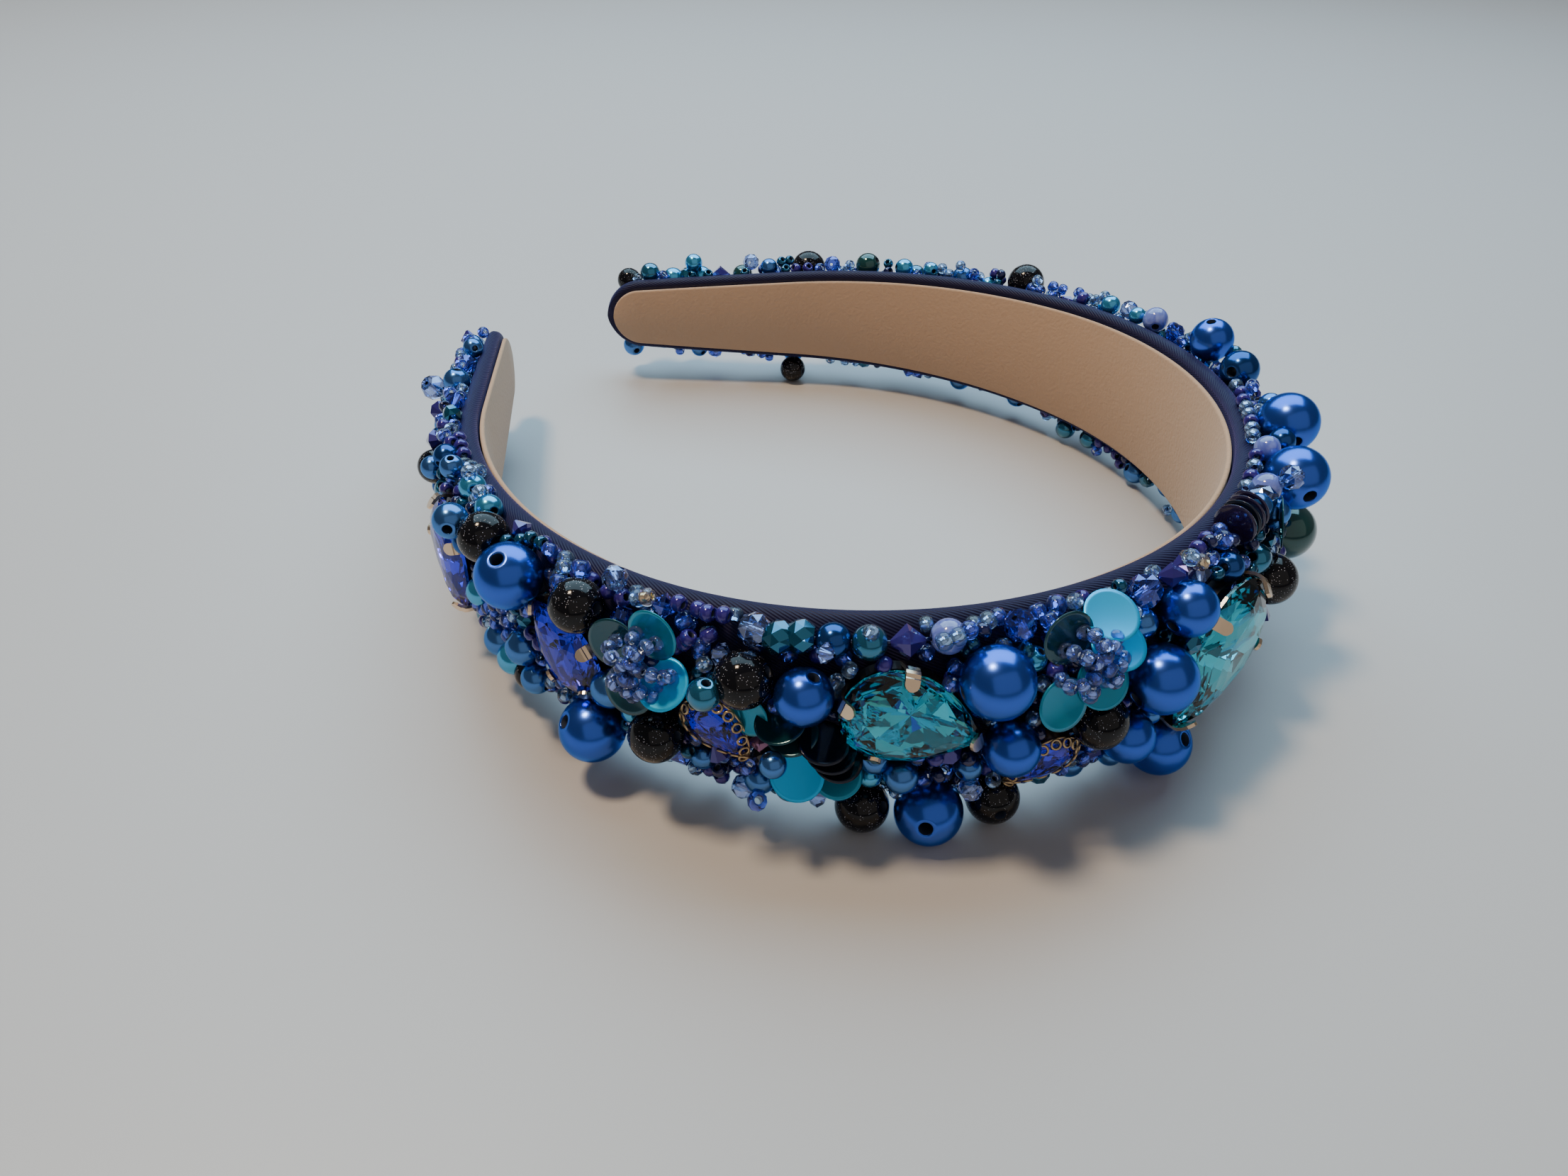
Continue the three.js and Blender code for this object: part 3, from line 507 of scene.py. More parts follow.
def drop_point(t, length, width):
    FULLNESS = 0.7
    WIDEST = 0.831
    angle = 2 * math.pi * t
    fullness = abs(math.sin(angle / 2)) ** FULLNESS
    return np.array([length / 2 * math.cos(angle), width / 2 * math.sin(angle) * fullness / WIDEST])


def cut_drop(size):
    """A cut drop stone with its culet at the origin; its parts are 0 glass and 1 foil."""
    half = size["sides"] // 2
    top = size["pavilion"] + GIRDLE
    below = table("share height phase jog", [
        (0.3, 0.24, 0.5, 0.3),
        (0.6, 0.5, 0, 0.2),
        (0.85, 0.78, 0.5, 0.08),
    ])
    above = table("share height phase jog", [
        (0.88, 0.4, 0.5, 0.1),
        (0.72, 0.72, 0, -0.05),
        (0.5, 0.93, 0.5, 0.03),
        (0.26, 1, 0, 0),
    ])
    levels = [{**level, "count": half, "height": level["height"] * size["pavilion"]} for level in below]
    for height in (size["pavilion"], top):
        levels.append({"share": 1, "count": size["sides"], "height": height, "phase": 0, "jog": 0})
    levels += [{**level, "count": half, "height": top + level["height"] * size["crown"]} for level in above]
    points = [np.zeros(3)]
    for level in levels:
        level["first"] = len(points)
        jog = level["jog"] * (size["pavilion"] if level["height"] < top else size["crown"])
        for i in range(level["count"]):
            turn = (i + level["phase"]) / level["count"]
            x, y = drop_point(turn, size["length"], size["width"]) * level["share"]
            points.append(np.array([x, y, level["height"] + jog * (i % 2 - 0.5)]))
    faces = [(0, 1 + (i + 1) % half, 1 + i) for i in range(half)]
    for lower, upper in zip(levels[:3], levels[1:4]):
        ring_between(faces, lower, upper)
    foiled = len(faces)
    for lower, upper in zip(levels[3:], levels[4:]):
        ring_between(faces, lower, upper)
    highest = levels[-1]
    faces.append(tuple(range(highest["first"], highest["first"] + highest["count"])))
    return np.array(points), faces, (np.arange(len(faces)) < foiled).astype(int)


def shown(name, data):
    """A new object of the scene that shows a mesh, a light or a camera."""
    thing = bpy.data.objects.new(name, data)
    bpy.context.scene.collection.objects.link(thing)
    return thing


# A heap of shapes that becomes one mesh

class Heap:
    def __init__(self):
        self.points = []
        self.faces = []
        self.finishes = []
        self.smooth = []
        self.count = 0

    def add(self, shape, place, finishes, smooth=True):
        points, faces, parts = shape
        centre, ways = place
        self.points.append(points @ np.array(ways) + centre)
        self.faces += [tuple(int(i) + self.count for i in face) for face in faces]
        self.finishes += [finishes[int(part)] for part in parts]
        self.smooth += [smooth] * len(faces)
        self.count += len(points)

    def build(self, name, slot, replaced=()):
        used = sorted(set(self.finishes))
        mesh = bpy.data.meshes.new(name)
        mesh.from_pydata(np.concatenate(self.points).tolist(), [], self.faces)
        for finish in used:
            mesh.materials.append(FINISHES[finish])
        mesh.polygons.foreach_set("material_index", [used.index(finish) for finish in self.finishes])
        mesh.polygons.foreach_set("use_smooth", self.smooth)
        mesh.update()
        thing = shown(name, mesh)
        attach(thing, "root")
        for node in replaced:
            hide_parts(node)


def pointed(centre, axis):
    """A place whose Z runs along an axis."""
    axis = axis / np.linalg.norm(axis)
    aside = np.cross(axis, [0.13, 0.57, 0.81])
    aside /= np.linalg.norm(aside)
    return centre, (aside, np.cross(axis, aside), axis)


# Materials

FINISHES = {}


def finish(name, **values):
    material = bpy.data.materials.new(name)
    material.use_nodes = True
    shader = material.node_tree.nodes["Principled BSDF"]
    for key, value in values.items():
        socket = shader.inputs[key.replace("_", " ").title().replace("Ior", "IOR")]
        socket.default_value = (*value, 1.0) if isinstance(value, tuple) else value
    FINISHES[name] = material
    return material.node_tree, shader


OPAQUE = table("name base_color metallic roughness coat_weight", [
    ("pearl", (0.055, 0.14, 0.65), 0.94, 0.24, 0.15),
    ("pearl_small", (0.08, 0.22, 0.56), 0.93, 0.22, 0.2),
    ("pearl_navy", (0.02, 0.08, 0.3), 0.9, 0.2, 0.3),
    ("pearl_sky", (0.1, 0.46, 0.78), 0.85, 0.2, 0.3),
    ("bore", (0.01, 0.02, 0.05), 0, 0.6, 0),
    ("round_teal", (0.04, 0.21, 0.36), 0.85, 0.15, 0.6),
    ("round_green", (0.01, 0.07, 0.07), 0.5, 0.12, 0.8),
    ("gilt", (0.86, 0.66, 0.46), 1.0, 0.2, 0),
    ("old_gold", (0.55, 0.4, 0.22), 1.0, 0.32, 0),
    ("dark_metal", (0.03, 0.028, 0.034), 0.8, 0.4, 0),
    ("teal_foil", (0.1, 0.62, 0.78), 1.0, 0.04, 0),
    ("blue_foil", (0.16, 0.17, 0.88), 1.0, 0.04, 0),
    # Sky sequins: partly a paler tint, partly painted light, a brighter copy of sequin_teal that stands in
    # for the window's reflection.
    ("sequin_sky", (0.005, 0.52, 1.0), 0.45, 0.36, 0),
    ("sequin_teal", (0.015, 0.28, 0.44), 0.5, 0.22, 0.3),
    ("sequin_dark", (0.008, 0.07, 0.1), 0.5, 0.16, 0.6),
    ("sequin_black", (0.008, 0.014, 0.034), 0.6, 0.16, 0.5),
    ("sequin_plum", (0.02, 0.012, 0.06), 0.4, 0.12, 0.9),
    ("seed_purple", (0.035, 0.018, 0.24), 0.3, 0.16, 0.6),
    ("seed_navy", (0.008, 0.012, 0.09), 0.4, 0.12, 0.8),
    ("seed_teal", (0.01, 0.1, 0.2), 0.75, 0.15, 0.6),
    ("silver_lining", (0.78, 0.85, 0.98), 1.0, 0.12, 0),
    ("gold_lining", (0.9, 0.7, 0.35), 1.0, 0.15, 0),
    ("crystal_teal", (0.02, 0.15, 0.27), 0.85, 0.06, 0.6),
    ("crystal_purple", (0.045, 0.03, 0.25), 0.4, 0.05, 0.6),
    ("crystal_pink", (0.3, 0.15, 0.36), 0.7, 0.06, 0.5),
    ("crystal_smoky", (0.05, 0.045, 0.05), 0.3, 0.05, 0.9),
    ("floor", (0.53, 0.53, 0.55), 0, 0.38, 0),
])
GLASS = table("name base_color metallic roughness transmission_weight ior", [
    ("teal_glass", (0.5, 0.95, 0.98), 0, 0.0, 1.0, 1.48),
    ("blue_glass", (0.27, 0.33, 0.98), 0, 0.0, 1.0, 1.48),
    ("seed_sky", (0.45, 0.68, 0.98), 0, 0.03, 0.92, 1.52),
    ("seed_sapphire", (0.16, 0.24, 0.95), 0, 0.03, 0.92, 1.52),
    ("seed_steel", (0.34, 0.46, 0.95), 0, 0.03, 0.92, 1.52),
    ("seed_gold", (0.8, 0.75, 0.85), 0, 0.03, 0.92, 1.52),
    ("crystal_clear", (0.42, 0.55, 0.96), 0.3, 0.02, 1.0, 1.5),
    ("crystal_blue", (0.18, 0.25, 0.95), 0.3, 0.02, 1.0, 1.5),
])
for look in OPAQUE + GLASS:
    finish(**look)


def bump(tree, shader, height, distance, strength):
    """A bump of the shader by the values of a socket."""
    node = tree.nodes.new("ShaderNodeBump")
    node.inputs["Distance"].default_value = distance
    node.inputs["Strength"].default_value = strength
    tree.links.new(height, node.inputs["Height"])
    tree.links.new(node.outputs["Normal"], shader.inputs["Normal"])


def texture(tree, kind, scale):
    """A texture node laid out by the object's own coordinates."""
    node = tree.nodes.new(kind)
    node.inputs["Scale"].default_value = scale
    place = tree.nodes.new("ShaderNodeTexCoord")
    tree.links.new(place.outputs["Object"], node.inputs["Vector"])
    return node


def two_colours(tree, shader, share, first, second):
    """A base colour that a socket mixes from two."""
    node = tree.nodes.new("ShaderNodeMix")
    node.data_type = "RGBA"
    node.inputs["A"].default_value = first
    node.inputs["B"].default_value = second
    tree.links.new(share, node.inputs["Factor"])
    tree.links.new(node.outputs["Result"], shader.inputs["Base Color"])


def suede():
    tree, shader = finish("suede", base_color=(0.49, 0.32, 0.21), roughness=0.95, sheen_weight=0.15)
    noise = texture(tree, "ShaderNodeTexNoise", 1400)
    bump(tree, shader, noise.outputs["Fac"], 0.0002, 0.6)


def satin():
    """Navy satin with fine diagonal ribs, laid out by the cover's UV map in metres."""
    RIB_PITCH = 0.42 * MM
    WAVE_RADIANS = 20  # in a metre of a wave texture of scale 1
    tree, shader = finish("satin", base_color=(0.008, 0.007, 0.032), roughness=0.5, sheen_weight=0.3)
    shader.inputs["Specular IOR Level"].default_value = 0.16
    shader.inputs["Sheen Tint"].default_value = (0.28, 0.27, 0.85, 1)
    place = tree.nodes.new("ShaderNodeUVMap")
    turn = tree.nodes.new("ShaderNodeMapping")
    turn.inputs["Rotation"].default_value[2] = math.radians(62)
    wave = tree.nodes.new("ShaderNodeTexWave")
    wave.inputs["Scale"].default_value = 2 * math.pi / WAVE_RADIANS / RIB_PITCH
    tree.links.new(place.outputs["UV"], turn.inputs["Vector"])
    tree.links.new(turn.outputs["Vector"], wave.inputs["Vector"])
    bump(tree, shader, wave.outputs["Fac"], 0.00008, 0.8)


def black_glitter():
    FLAKES = 11000
    FLAKE_SHARE = 0.02
    tree, shader = finish("black_glitter", base_color=(0.004, 0.004, 0.006), roughness=0.1, coat_weight=0.1)
    shader.inputs["Specular IOR Level"].default_value = 0.24
    cells = texture(tree, "ShaderNodeTexVoronoi", FLAKES)
    part = tree.nodes.new("ShaderNodeSeparateColor")
    chosen = tree.nodes.new("ShaderNodeMath")
    chosen.operation = "GREATER_THAN"
    chosen.inputs[1].default_value = 1 - FLAKE_SHARE
    tree.links.new(cells.outputs["Color"], part.inputs["Color"])
    tree.links.new(part.outputs["Red"], chosen.inputs[0])
    two_colours(tree, shader, chosen.outputs["Value"], (0.004, 0.004, 0.006, 1), (0.45, 0.46, 0.55, 1))


def marble():
    """Blue glass with pale swirls."""
    tree, shader = finish("marble", base_color=(0.07, 0.1, 0.55), roughness=0.1, coat_weight=0.8)
    noise = texture(tree, "ShaderNodeTexNoise", 420)
    noise.inputs["Distortion"].default_value = 1.6
    two_colours(tree, shader, noise.outputs["Fac"], (0.02, 0.03, 0.4, 1), (0.3, 0.4, 0.85, 1))


def pearl_coats():
    """A slight unevenness of the pearl coat."""
    for name in ("pearl", "pearl_small", "pearl_navy", "pearl_sky"):
        tree = FINISHES[name].node_tree
        shader = tree.nodes["Principled BSDF"]
        shader.inputs["Specular Tint"].default_value = (0.35, 0.65, 1, 1)
        noise = texture(tree, "ShaderNodeTexNoise", 700)
        bump(tree, shader, noise.outputs["Fac"], 0.00003, 0.3)


suede()
satin()
black_glitter()
marble()
pearl_coats()


# The satin cover and its lining

def lofted(name, rings, ways):
    """A closed skin through rings of points, with a UV map in metres: along, and round each ring."""
    stations, count, _ = rings.shape
    faces = grid_faces(stations, count, closed=False)
    faces.append(tuple(range(count))[::-1])
    faces.append(tuple(range((stations - 1) * count, stations * count)))
    mesh = bpy.data.meshes.new(name)
    mesh.from_pydata(rings.reshape(-1, 3).tolist(), [], faces)
    mesh.polygons.foreach_set("use_smooth", [True] * len(faces))
    layer = mesh.uv_layers.new(name="UVMap")
    round_ring = distances_along(rings[stations // 2])
    for loop, uv in zip(mesh.loops, layer.data):
        station, place = divmod(loop.vertex_index, count)
        uv.uv = (ways[station], round_ring[place])
    mesh.update()
    thing = shown(name, mesh)
    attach(thing, "root")
    return thing


def cover_stations(end, tip_half):
    TIP_STEPS = 14
    BODY_STEPS = 381
    body = end - tip_half
    tips = body + tip_half * np.sin(np.linspace(0.08, QUARTER * 0.985, TIP_STEPS))
    return np.concatenate([-tips[::-1], np.linspace(-body, body, BODY_STEPS), tips])


def satin_cover():
    DOME_STEPS = 26
    LOWEST_DOME = 0.4
    half_tip = TIP_WIDTH / 2
    ways = cover_stations(HALF_LENGTH, half_tip)
    rings = []
    for s in ways:
        closing = tip_closing(s, HALF_LENGTH, half_tip)
        half = half_width_at(s) * closing
        chamfer = min(RIM_CHAMFER, half / 3)
        dome = (padding_at(s) - RIM_HEIGHT) * (LOWEST_DOME + (1 - LOWEST_DOME) * closing)
        bend = np.linspace(0, QUARTER, 5)
        edge_across = half - chamfer * (1 - np.sin(bend))
        edge_out = RIM_HEIGHT * (1 - np.cos(bend))
        angles = np.linspace(QUARTER, -QUARTER, DOME_STEPS)[1:-1]
        across = np.concatenate([edge_across, half * np.sin(angles), -edge_across[::-1]])
        out = np.concatenate([edge_out, RIM_HEIGHT + dome * np.cos(angles), edge_out[::-1]])
        rings.append(band_point(s, across, out))
    cover = lofted("satin_cover", np.array(rings), ways)
    cover.data.materials.append(FINISHES["satin"])
    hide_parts("satin_band")


def suede_strip():
    end = HALF_LENGTH - LINING_MARGIN
    half_tip = TIP_WIDTH / 2 - LINING_MARGIN
    ways = cover_stations(end, half_tip)
    edge = np.linspace(0, math.pi, 5)
    rings = []
    for s in ways:
        half = (half_width_at(s) - LINING_MARGIN) * tip_closing(s, end, half_tip)
        round_off = LINING_THICKNESS / 2
        middle = -GAP - round_off
        level_half = half - round_off
        bulge = round_off * np.sin(edge)
        across = np.concatenate([level_half + bulge, -level_half - bulge])
        out = np.concatenate([middle - round_off * np.cos(edge), middle + round_off * np.cos(edge)])
        rings.append(band_point(s, across, out))
    strip = lofted("suede_strip", np.array(rings), ways)
    strip.data.materials.append(FINISHES["suede"])
    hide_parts("suede_lining")


satin_cover()
suede_strip()


# Round beads, each at its solid's centre and along its solid's bore

TAKEN = []
DARK_PEARLS = ("pearl_09",)


def take(centre, radius):
    """Keep the small beads out of a ball."""
    TAKEN.append((*centre, radius))


def bead_place(node):
    points = corners(node)
    centre = sphere_through(points)
    radius = np.linalg.norm(points - centre, axis=1).max()
    spread, ways = np.linalg.eigh(np.cov((points - centre).T))
    lone = 2 if spread[2] - spread[1] > spread[1] - spread[0] else 0
    return centre, radius, ways[:, lone]


def sphere_through(points):
    """The centre of the sphere that fits points best."""
    system = np.column_stack([2 * points, np.ones(len(points))])
    solution, *_ = np.linalg.lstsq(system, (points**2).sum(axis=1), rcond=None)
    return solution[:3]


def round_beads():
    SIDES = 40
    STEPS = 26
    BORE = 0.2
    for node in sorted(frame["nodes"]):
        if not node.startswith(("pearl_", "black_bead_")):
            continue
        centre, radius, axis = bead_place(node)
        slot = "pearl" if node.startswith("pearl_") else "black_glitter"
        outside = "round_green" if node in DARK_PEARLS else slot
        heap = Heap()
        shape = drilled_bead(radius, radius * BORE, SIDES, STEPS)
        heap.add(shape, pointed(centre, axis), (outside, "bore"))
        heap.build(f"fine_{node}", slot, [node])
        take(centre, radius)


round_beads()


# Drop stones and their settings

def stone_place(node):
    """The culet of a stone and its ways along, aside and out, the way that its largest flat faces."""
    areas = {}
    normals = {}
    for polygon in frame["nodes"][node].data.polygons:
        key = tuple(round(x, 2) for x in polygon.normal)
        areas[key] = areas.get(key, 0) + polygon.area
        normals.setdefault(key, polygon.normal)
    out = np.array(normals[max(areas, key=areas.get)])
    points = corners(node)
    culet = points[np.argmin(points @ out)]
    reach = points - culet
    reach -= np.outer(reach @ out, out)
    x = reach[np.argmax(np.linalg.norm(reach, axis=1))]
    x /= np.linalg.norm(x)
    y = np.cross(out, x)
    fuller_side = ((reach @ x) * (reach @ y) ** 2).sum()
    x = -x if fuller_side > 0 else x
    return culet, (x, np.cross(out, x), out)


def grown(size, offset):
    """The size of a stone with a wider girdle."""
    return {**size, "length": size["length"] + 2 * offset, "width": size["width"] + 2 * offset}


def grown_outline(size, offset, count=72):
    wide = grown(size, offset)
    return np.array([drop_point(i / count, wide["length"], wide["width"]) for i in range(count)])


def collar(size, outer, wall, top):
    """An upright wall round a stone, between two outlines."""
    inner_line, outer_line = grown_outline(size, outer - wall), grown_outline(size, outer)
    count = len(outer_line)
    levels = [(outer_line, 0.0), (outer_line, top), (inner_line, top), (inner_line, 0.0)]
    points = np.array([(x, y, height) for line, height in levels for x, y in line])
    faces = grid_faces(len(levels), count, closed=True)
    return points, faces, np.zeros(len(faces), dtype=int)


def outline_at(size, offset, t):
    STEP = 0.01
    wide = grown(size, offset)
    length, width = wide["length"], wide["width"]
    here = drop_point(t, length, width)
    ahead = drop_point(t + STEP, length, width) - drop_point(t - STEP, length, width)
    return here, math.atan2(ahead[1], ahead[0]) - QUARTER


def claw(size, t):
    """A flat tab that stands on the collar and folds onto the crown, with a round end."""
    girdle_top = size["pavilion"] + GIRDLE
    reach = (1 - SHOULDER["share"]) * size["width"] / 2
    middle = CLAW_THICKNESS / 2
    tip = girdle_top + GAP + size["crown"] * SHOULDER["rise"] + CLAW_THICKNESS / 2
    FOLD = 0.75 * MM
    STEPS = 6
    bend = girdle_top + FOLD
    path = [
        (-OVERHANG, 0.0),
        (middle, girdle_top * 0.75),
        (middle, girdle_top - 0.1 * MM),
        (middle * 0.6, girdle_top + 0.35 * MM),
        (-0.2 * MM, bend),
    ]
    for k in range(1, STEPS + 1):
        path.append((-reach * k / STEPS, bend + (tip - girdle_top - FOLD) * k / STEPS))
    path = np.array(path)
    ways = np.gradient(path, axis=0)
    ways /= np.linalg.norm(ways, axis=1)[:, None]
    sides = np.stack([ways[:, 1], -ways[:, 0]], axis=-1)
    distance = distances_along(path)
    left = distance[-1] - distance
    half = CLAW_WIDTH / 2
    rounded = np.sqrt(np.maximum(half**2 - (half - left) ** 2, (0.25 * half) ** 2))
    widths = np.where(left < half, rounded, half)
    place, way = outline_at(size, 0.0, t)
    points = []
    for (out, height), side, width in zip(path, sides, widths):
        for across, lift in ((-1, -0.5), (1, -0.5), (1, 0.5), (-1, 0.5)):
            x = out + side[0] * lift * CLAW_THICKNESS
            y = across * width
            z = height + side[1] * lift * CLAW_THICKNESS
            turned_x = x * math.cos(way) - y * math.sin(way) + place[0]
            turned_y = x * math.sin(way) + y * math.cos(way) + place[1]
            points.append((turned_x, turned_y, z))
    faces = [(3, 2, 1, 0), tuple(range(len(points) - 4, len(points)))]
    faces += grid_faces(len(path), 4, closed=False)
    return np.array(points), faces, np.zeros(len(faces), dtype=int)


def lace_loops(size):
    """Wire rings round a stone that lean in over its edge, on one wire."""
    LOOPS = 16
    RING = 0.68 * MM
    WIRE = 0.2 * MM
    LEAN = math.radians(-48)
    loops = []
    for i in range(LOOPS):
        place, way = outline_at(size, LACE_WIDTH / 2, (i + 0.5) / LOOPS)
        out = np.array([math.cos(way), math.sin(way), 0])
        along = np.array([-math.sin(way), math.cos(way), 0])
        up = np.array([0, 0, math.cos(LEAN)]) + out * math.sin(LEAN)
        middle = np.array([place[0], place[1], size["pavilion"] + GIRDLE + WIRE]) + up * RING * 0.9
        turns = np.linspace(0, 2 * math.pi, 15)[:-1]
        path = [middle + RING * (math.cos(a) * along + math.sin(a) * up) for a in turns]
        loops.append(tube(path, WIRE, 6, closed=True))
    rim = [(x, y, size["pavilion"] + GIRDLE) for x, y in grown_outline(size, LACE_WIDTH / 2)]
    loops.append(tube(rim, WIRE, 6, closed=True))
    return loops


def drop_stones():
    CLAWS = (0.04, 0.3, 0.5, 0.7)
    # Round room that a stone takes: places along it by its length, and radii by its width
    ROOM = ((-0.17, 0.5), (0.02, 0.46), (0.2, 0.33), (0.34, 0.19), (0.45, 0.06))
    for stone in STONES:
        name, size, glass = stone["name"], stone["size"], stone["glass"]
        pavilion = size["pavilion"]
        lace = name.startswith("lace")
        place = stone_place(f"{name}_stone")
        cut = grown(size, LACE_GROWTH if lace else OVERHANG)
        heap = Heap()
        heap.add(cut_drop(cut), place, (glass, glass.replace("glass", "foil")), smooth=False)
        heap.build(f"fine_{name}_stone", glass, [f"{name}_stone"])
        setting = Heap()
        if lace:
            wall = collar(size, LACE_WIDTH / 2, LACE_WIDTH / 2, pavilion)
            setting.add(wall, place, ("old_gold",), smooth=False)
            for loop in lace_loops(cut):
                setting.add(loop, place, ("old_gold",))
        else:
            wall = collar(size, COLLAR_OUT, SETTING_WALL, pavilion * COLLAR_SHARE)
            setting.add(wall, place, ("dark_metal",), smooth=False)
            for t in CLAWS:
                setting.add(claw(cut, t), place, ("gilt",), smooth=False)
        setting.build(f"fine_{name}_setting", "gilt", [f"{name}_setting"])
        culet, (x, _, out) = place
        for at, share in ROOM:
            radius = share * size["width"] + GAP
            for height in (0.5, 1.5):
                spot = culet + x * at * size["length"] + out * height * pavilion
                take(spot, radius * (1.05 - 0.1 * height))


drop_stones()


# Sequin flowers

def lay_sequin(heap, centre, axis, radius, cup, finish):
    """A sequin, and the room that it takes: a ball in the middle and six round it."""
    heap.add(sequin(radius, cup), pointed(centre, axis), (finish,))
    axis = axis / np.linalg.norm(axis)
    aside = np.cross(axis, [0.3, 0.6, 0.7])
    aside /= np.linalg.norm(aside)
    other = np.cross(axis, aside)
    take(centre, radius * 0.4)
    for k in range(6):
        turn = k * math.pi / 3
        way = aside * math.cos(turn) + other * math.sin(turn)
        take(centre + radius * 0.62 * way, radius * 0.36)


def seed_arch(heap, centre, way, out, count):
    """Silver-lined seeds on a thread that rises from the middle of a flower and comes down outside it."""
    REACH = 2.3 * MM
    RISE = 2.2 * MM
    turns = np.linspace(2.7, -0.3, count)
    for turn in turns:
        spot = centre + way * REACH * (1 + math.cos(turn)) + out * RISE * math.sin(turn)
        onward = out * RISE * math.cos(turn) - way * REACH * math.sin(turn)
        shape = seed_bead(1.15 * MM, 1.6 * MM, 0.44 * MM, 12)
        heap.add(shape, pointed(spot, onward), ("seed_steel", "silver_lining"))


def sequin_flowers():
    rng = np.random.default_rng(RANDOM_SEED)
    ARCHES = 7
    ARCH_SEEDS = 5
    for flower in FLOWERS:
        centre, along, over, out = seat_at(flower["along"] * HALF_LENGTH, flower["over"] * QUARTER, GAP)
        heap = Heap()
        for k, petal in enumerate(flower["petals"]):
            turn = math.radians(petal["turn"])
            way = along * math.cos(turn) + over * math.sin(turn)
            middle = centre + way * petal["reach"] * FLOWER_REACH + out * (FLOWER_LIFT + SEQUIN_THICKNESS * k)
            tilted = out - way * rng.uniform(0.02, 0.16) + over * petal["rise"]
            lay_sequin(heap, middle, tilted, PETAL_RADIUS, 0.35 * MM, petal["finish"])
        for k in range(ARCHES):
            turn = 2 * math.pi * k / ARCHES + rng.uniform(-0.25, 0.25)
            way = along * math.cos(turn) + over * math.sin(turn)
            leaned = out + np.cross(out, way) * rng.uniform(-0.5, 0.5)
            start = centre + out * (FLOWER_LIFT + rng.uniform(0.8, 1.5) * MM)
            seed_arch(heap, start, way, leaned / np.linalg.norm(leaned), ARCH_SEEDS)
        stem = drilled_bead(FLOWER_LIFT / 2, 0.5 * MM, 20, 12)
        heap.add(stem, pointed(centre + out * FLOWER_LIFT / 2, along), ("seed_navy", "bore"))
        heap.build(f"fine_{flower['name']}", "sequin", [flower["name"]])
        take(centre + out * (FLOWER_LIFT + 1.2 * MM), CLUSTER_REACH)


sequin_flowers()


# Small beads, by kinds such as seed_sky: the form, then the shade

LININGS = {
    "crystal_clear": "silver_lining",
    "crystal_blue": "silver_lining",
    "seed_sky": "silver_lining",
    "seed_sapphire": "silver_lining",
    "seed_gold": "gold_lining",
}


def outside_of(kind):
    """The finish of a small bead's outside, which most round beads and seeds have under their own name."""
    form, _, shade = kind.partition("_")
    if form in ("rondelle", "bicone"):
        return f"crystal_{shade}"
    return "black_glitter" if kind == "round_black" else kind


def small_shape(kind, radius):
    """A small bead by kind: shape, finishes and whether it is smooth."""
    outside = outside_of(kind)
    finishes = (outside, LININGS.get(outside, "bore"))
    bore = 0.24 * radius + 0.08 * MM
    if kind.startswith("rondelle"):
        return rondelle(radius, radius * 1.56, bore * 0.6), finishes, False
    if kind.startswith("bicone"):
        return bicone(radius, bore * 0.6), finishes, False
    if kind.startswith("seed"):
        return seed_bead(radius, radius * 1.5, radius * 0.4), finishes, True
    return drilled_bead(radius, bore, 24, 14), finishes, True


# Rows of small beads

def row_centres(node, count):
    """The centres of a row's beads, in order along the band."""
    points = corners(node)
    middle = points.mean(axis=0)
    _, ways = np.linalg.eigh(np.cov(points.T))
    places = np.linspace(-HALF_LENGTH, HALF_LENGTH, 400)
    nearest = places[np.linalg.norm(band_point(places, 0, 0) - middle, axis=1).argmin()]
    _, onward, _, _ = seat_at(nearest, 0, 0)
    order = (points - middle) @ ways[:, 2] * np.sign(onward @ ways[:, 2])
    low, high = order.min(), order.max()
    pitch = (high - low) / count
    guesses = [low + pitch * (k + 0.5) for k in range(count)]
    centres = np.array([points[abs(order - guess) < pitch * 0.55].mean(axis=0) for guess in guesses])
    for _ in range(12):
        nearest = np.linalg.norm(points[:, None] - centres[None], axis=2).argmin(axis=1)
        centres = np.array([points[nearest == k].mean(axis=0) for k in range(count)])
    return centres


def bead_rows():
    for row in ROWS:
        kinds = row["kinds"].split()
        centres = row_centres(row["name"], len(kinds))
        onward = np.gradient(centres, axis=0)
        radius = row["size"] / 2
        heap = Heap()
        for centre, way, kind in zip(centres, onward, kinds):
            shape, finishes, smooth = small_shape(kind, radius * 0.96)
            heap.add(shape, pointed(centre, way), finishes, smooth)
            take(centre, radius)
        heap.add(tube(centres, 0.3 * MM, 6), (np.zeros(3), np.eye(3)), ("seed_navy",))
        heap.build(f"fine_{row['name']}", "seed_glass", [row["name"]])


bead_rows()


# Small beads and seeds that fill the face between the larger pieces, each resting on what lies below it

FILL_BEADS = table("kind size_mm tries", [
    ("pearl_small", 5, 60),
    ("round_teal", 4.4, 70),
    ("pearl_navy", 4.4, 80),
    ("pearl_small", 4, 110),
    ("pearl_sky", 3.6, 70),
    ("rondelle_clear", 3.8, 60),
    ("rondelle_blue", 3.8, 60),
    ("bicone_purple", 3.8, 90),
    ("bicone_blue", 3.6, 90),
    ("bicone_pink", 3, 30),
    ("rondelle_teal", 3.6, 110),
    ("seed_sapphire", 3, 110),
])

FILL_SEEDS = table("kind size_mm share", [
    ("seed_purple", 2.5, 0.17),
    ("seed_sky", 2.4, 0.24),
    ("seed_sapphire", 2.5, 0.31),
    ("seed_navy", 2.3, 0.14),
    ("seed_teal", 2.3, 0.14),
])

USUAL_SLACK = 0.94


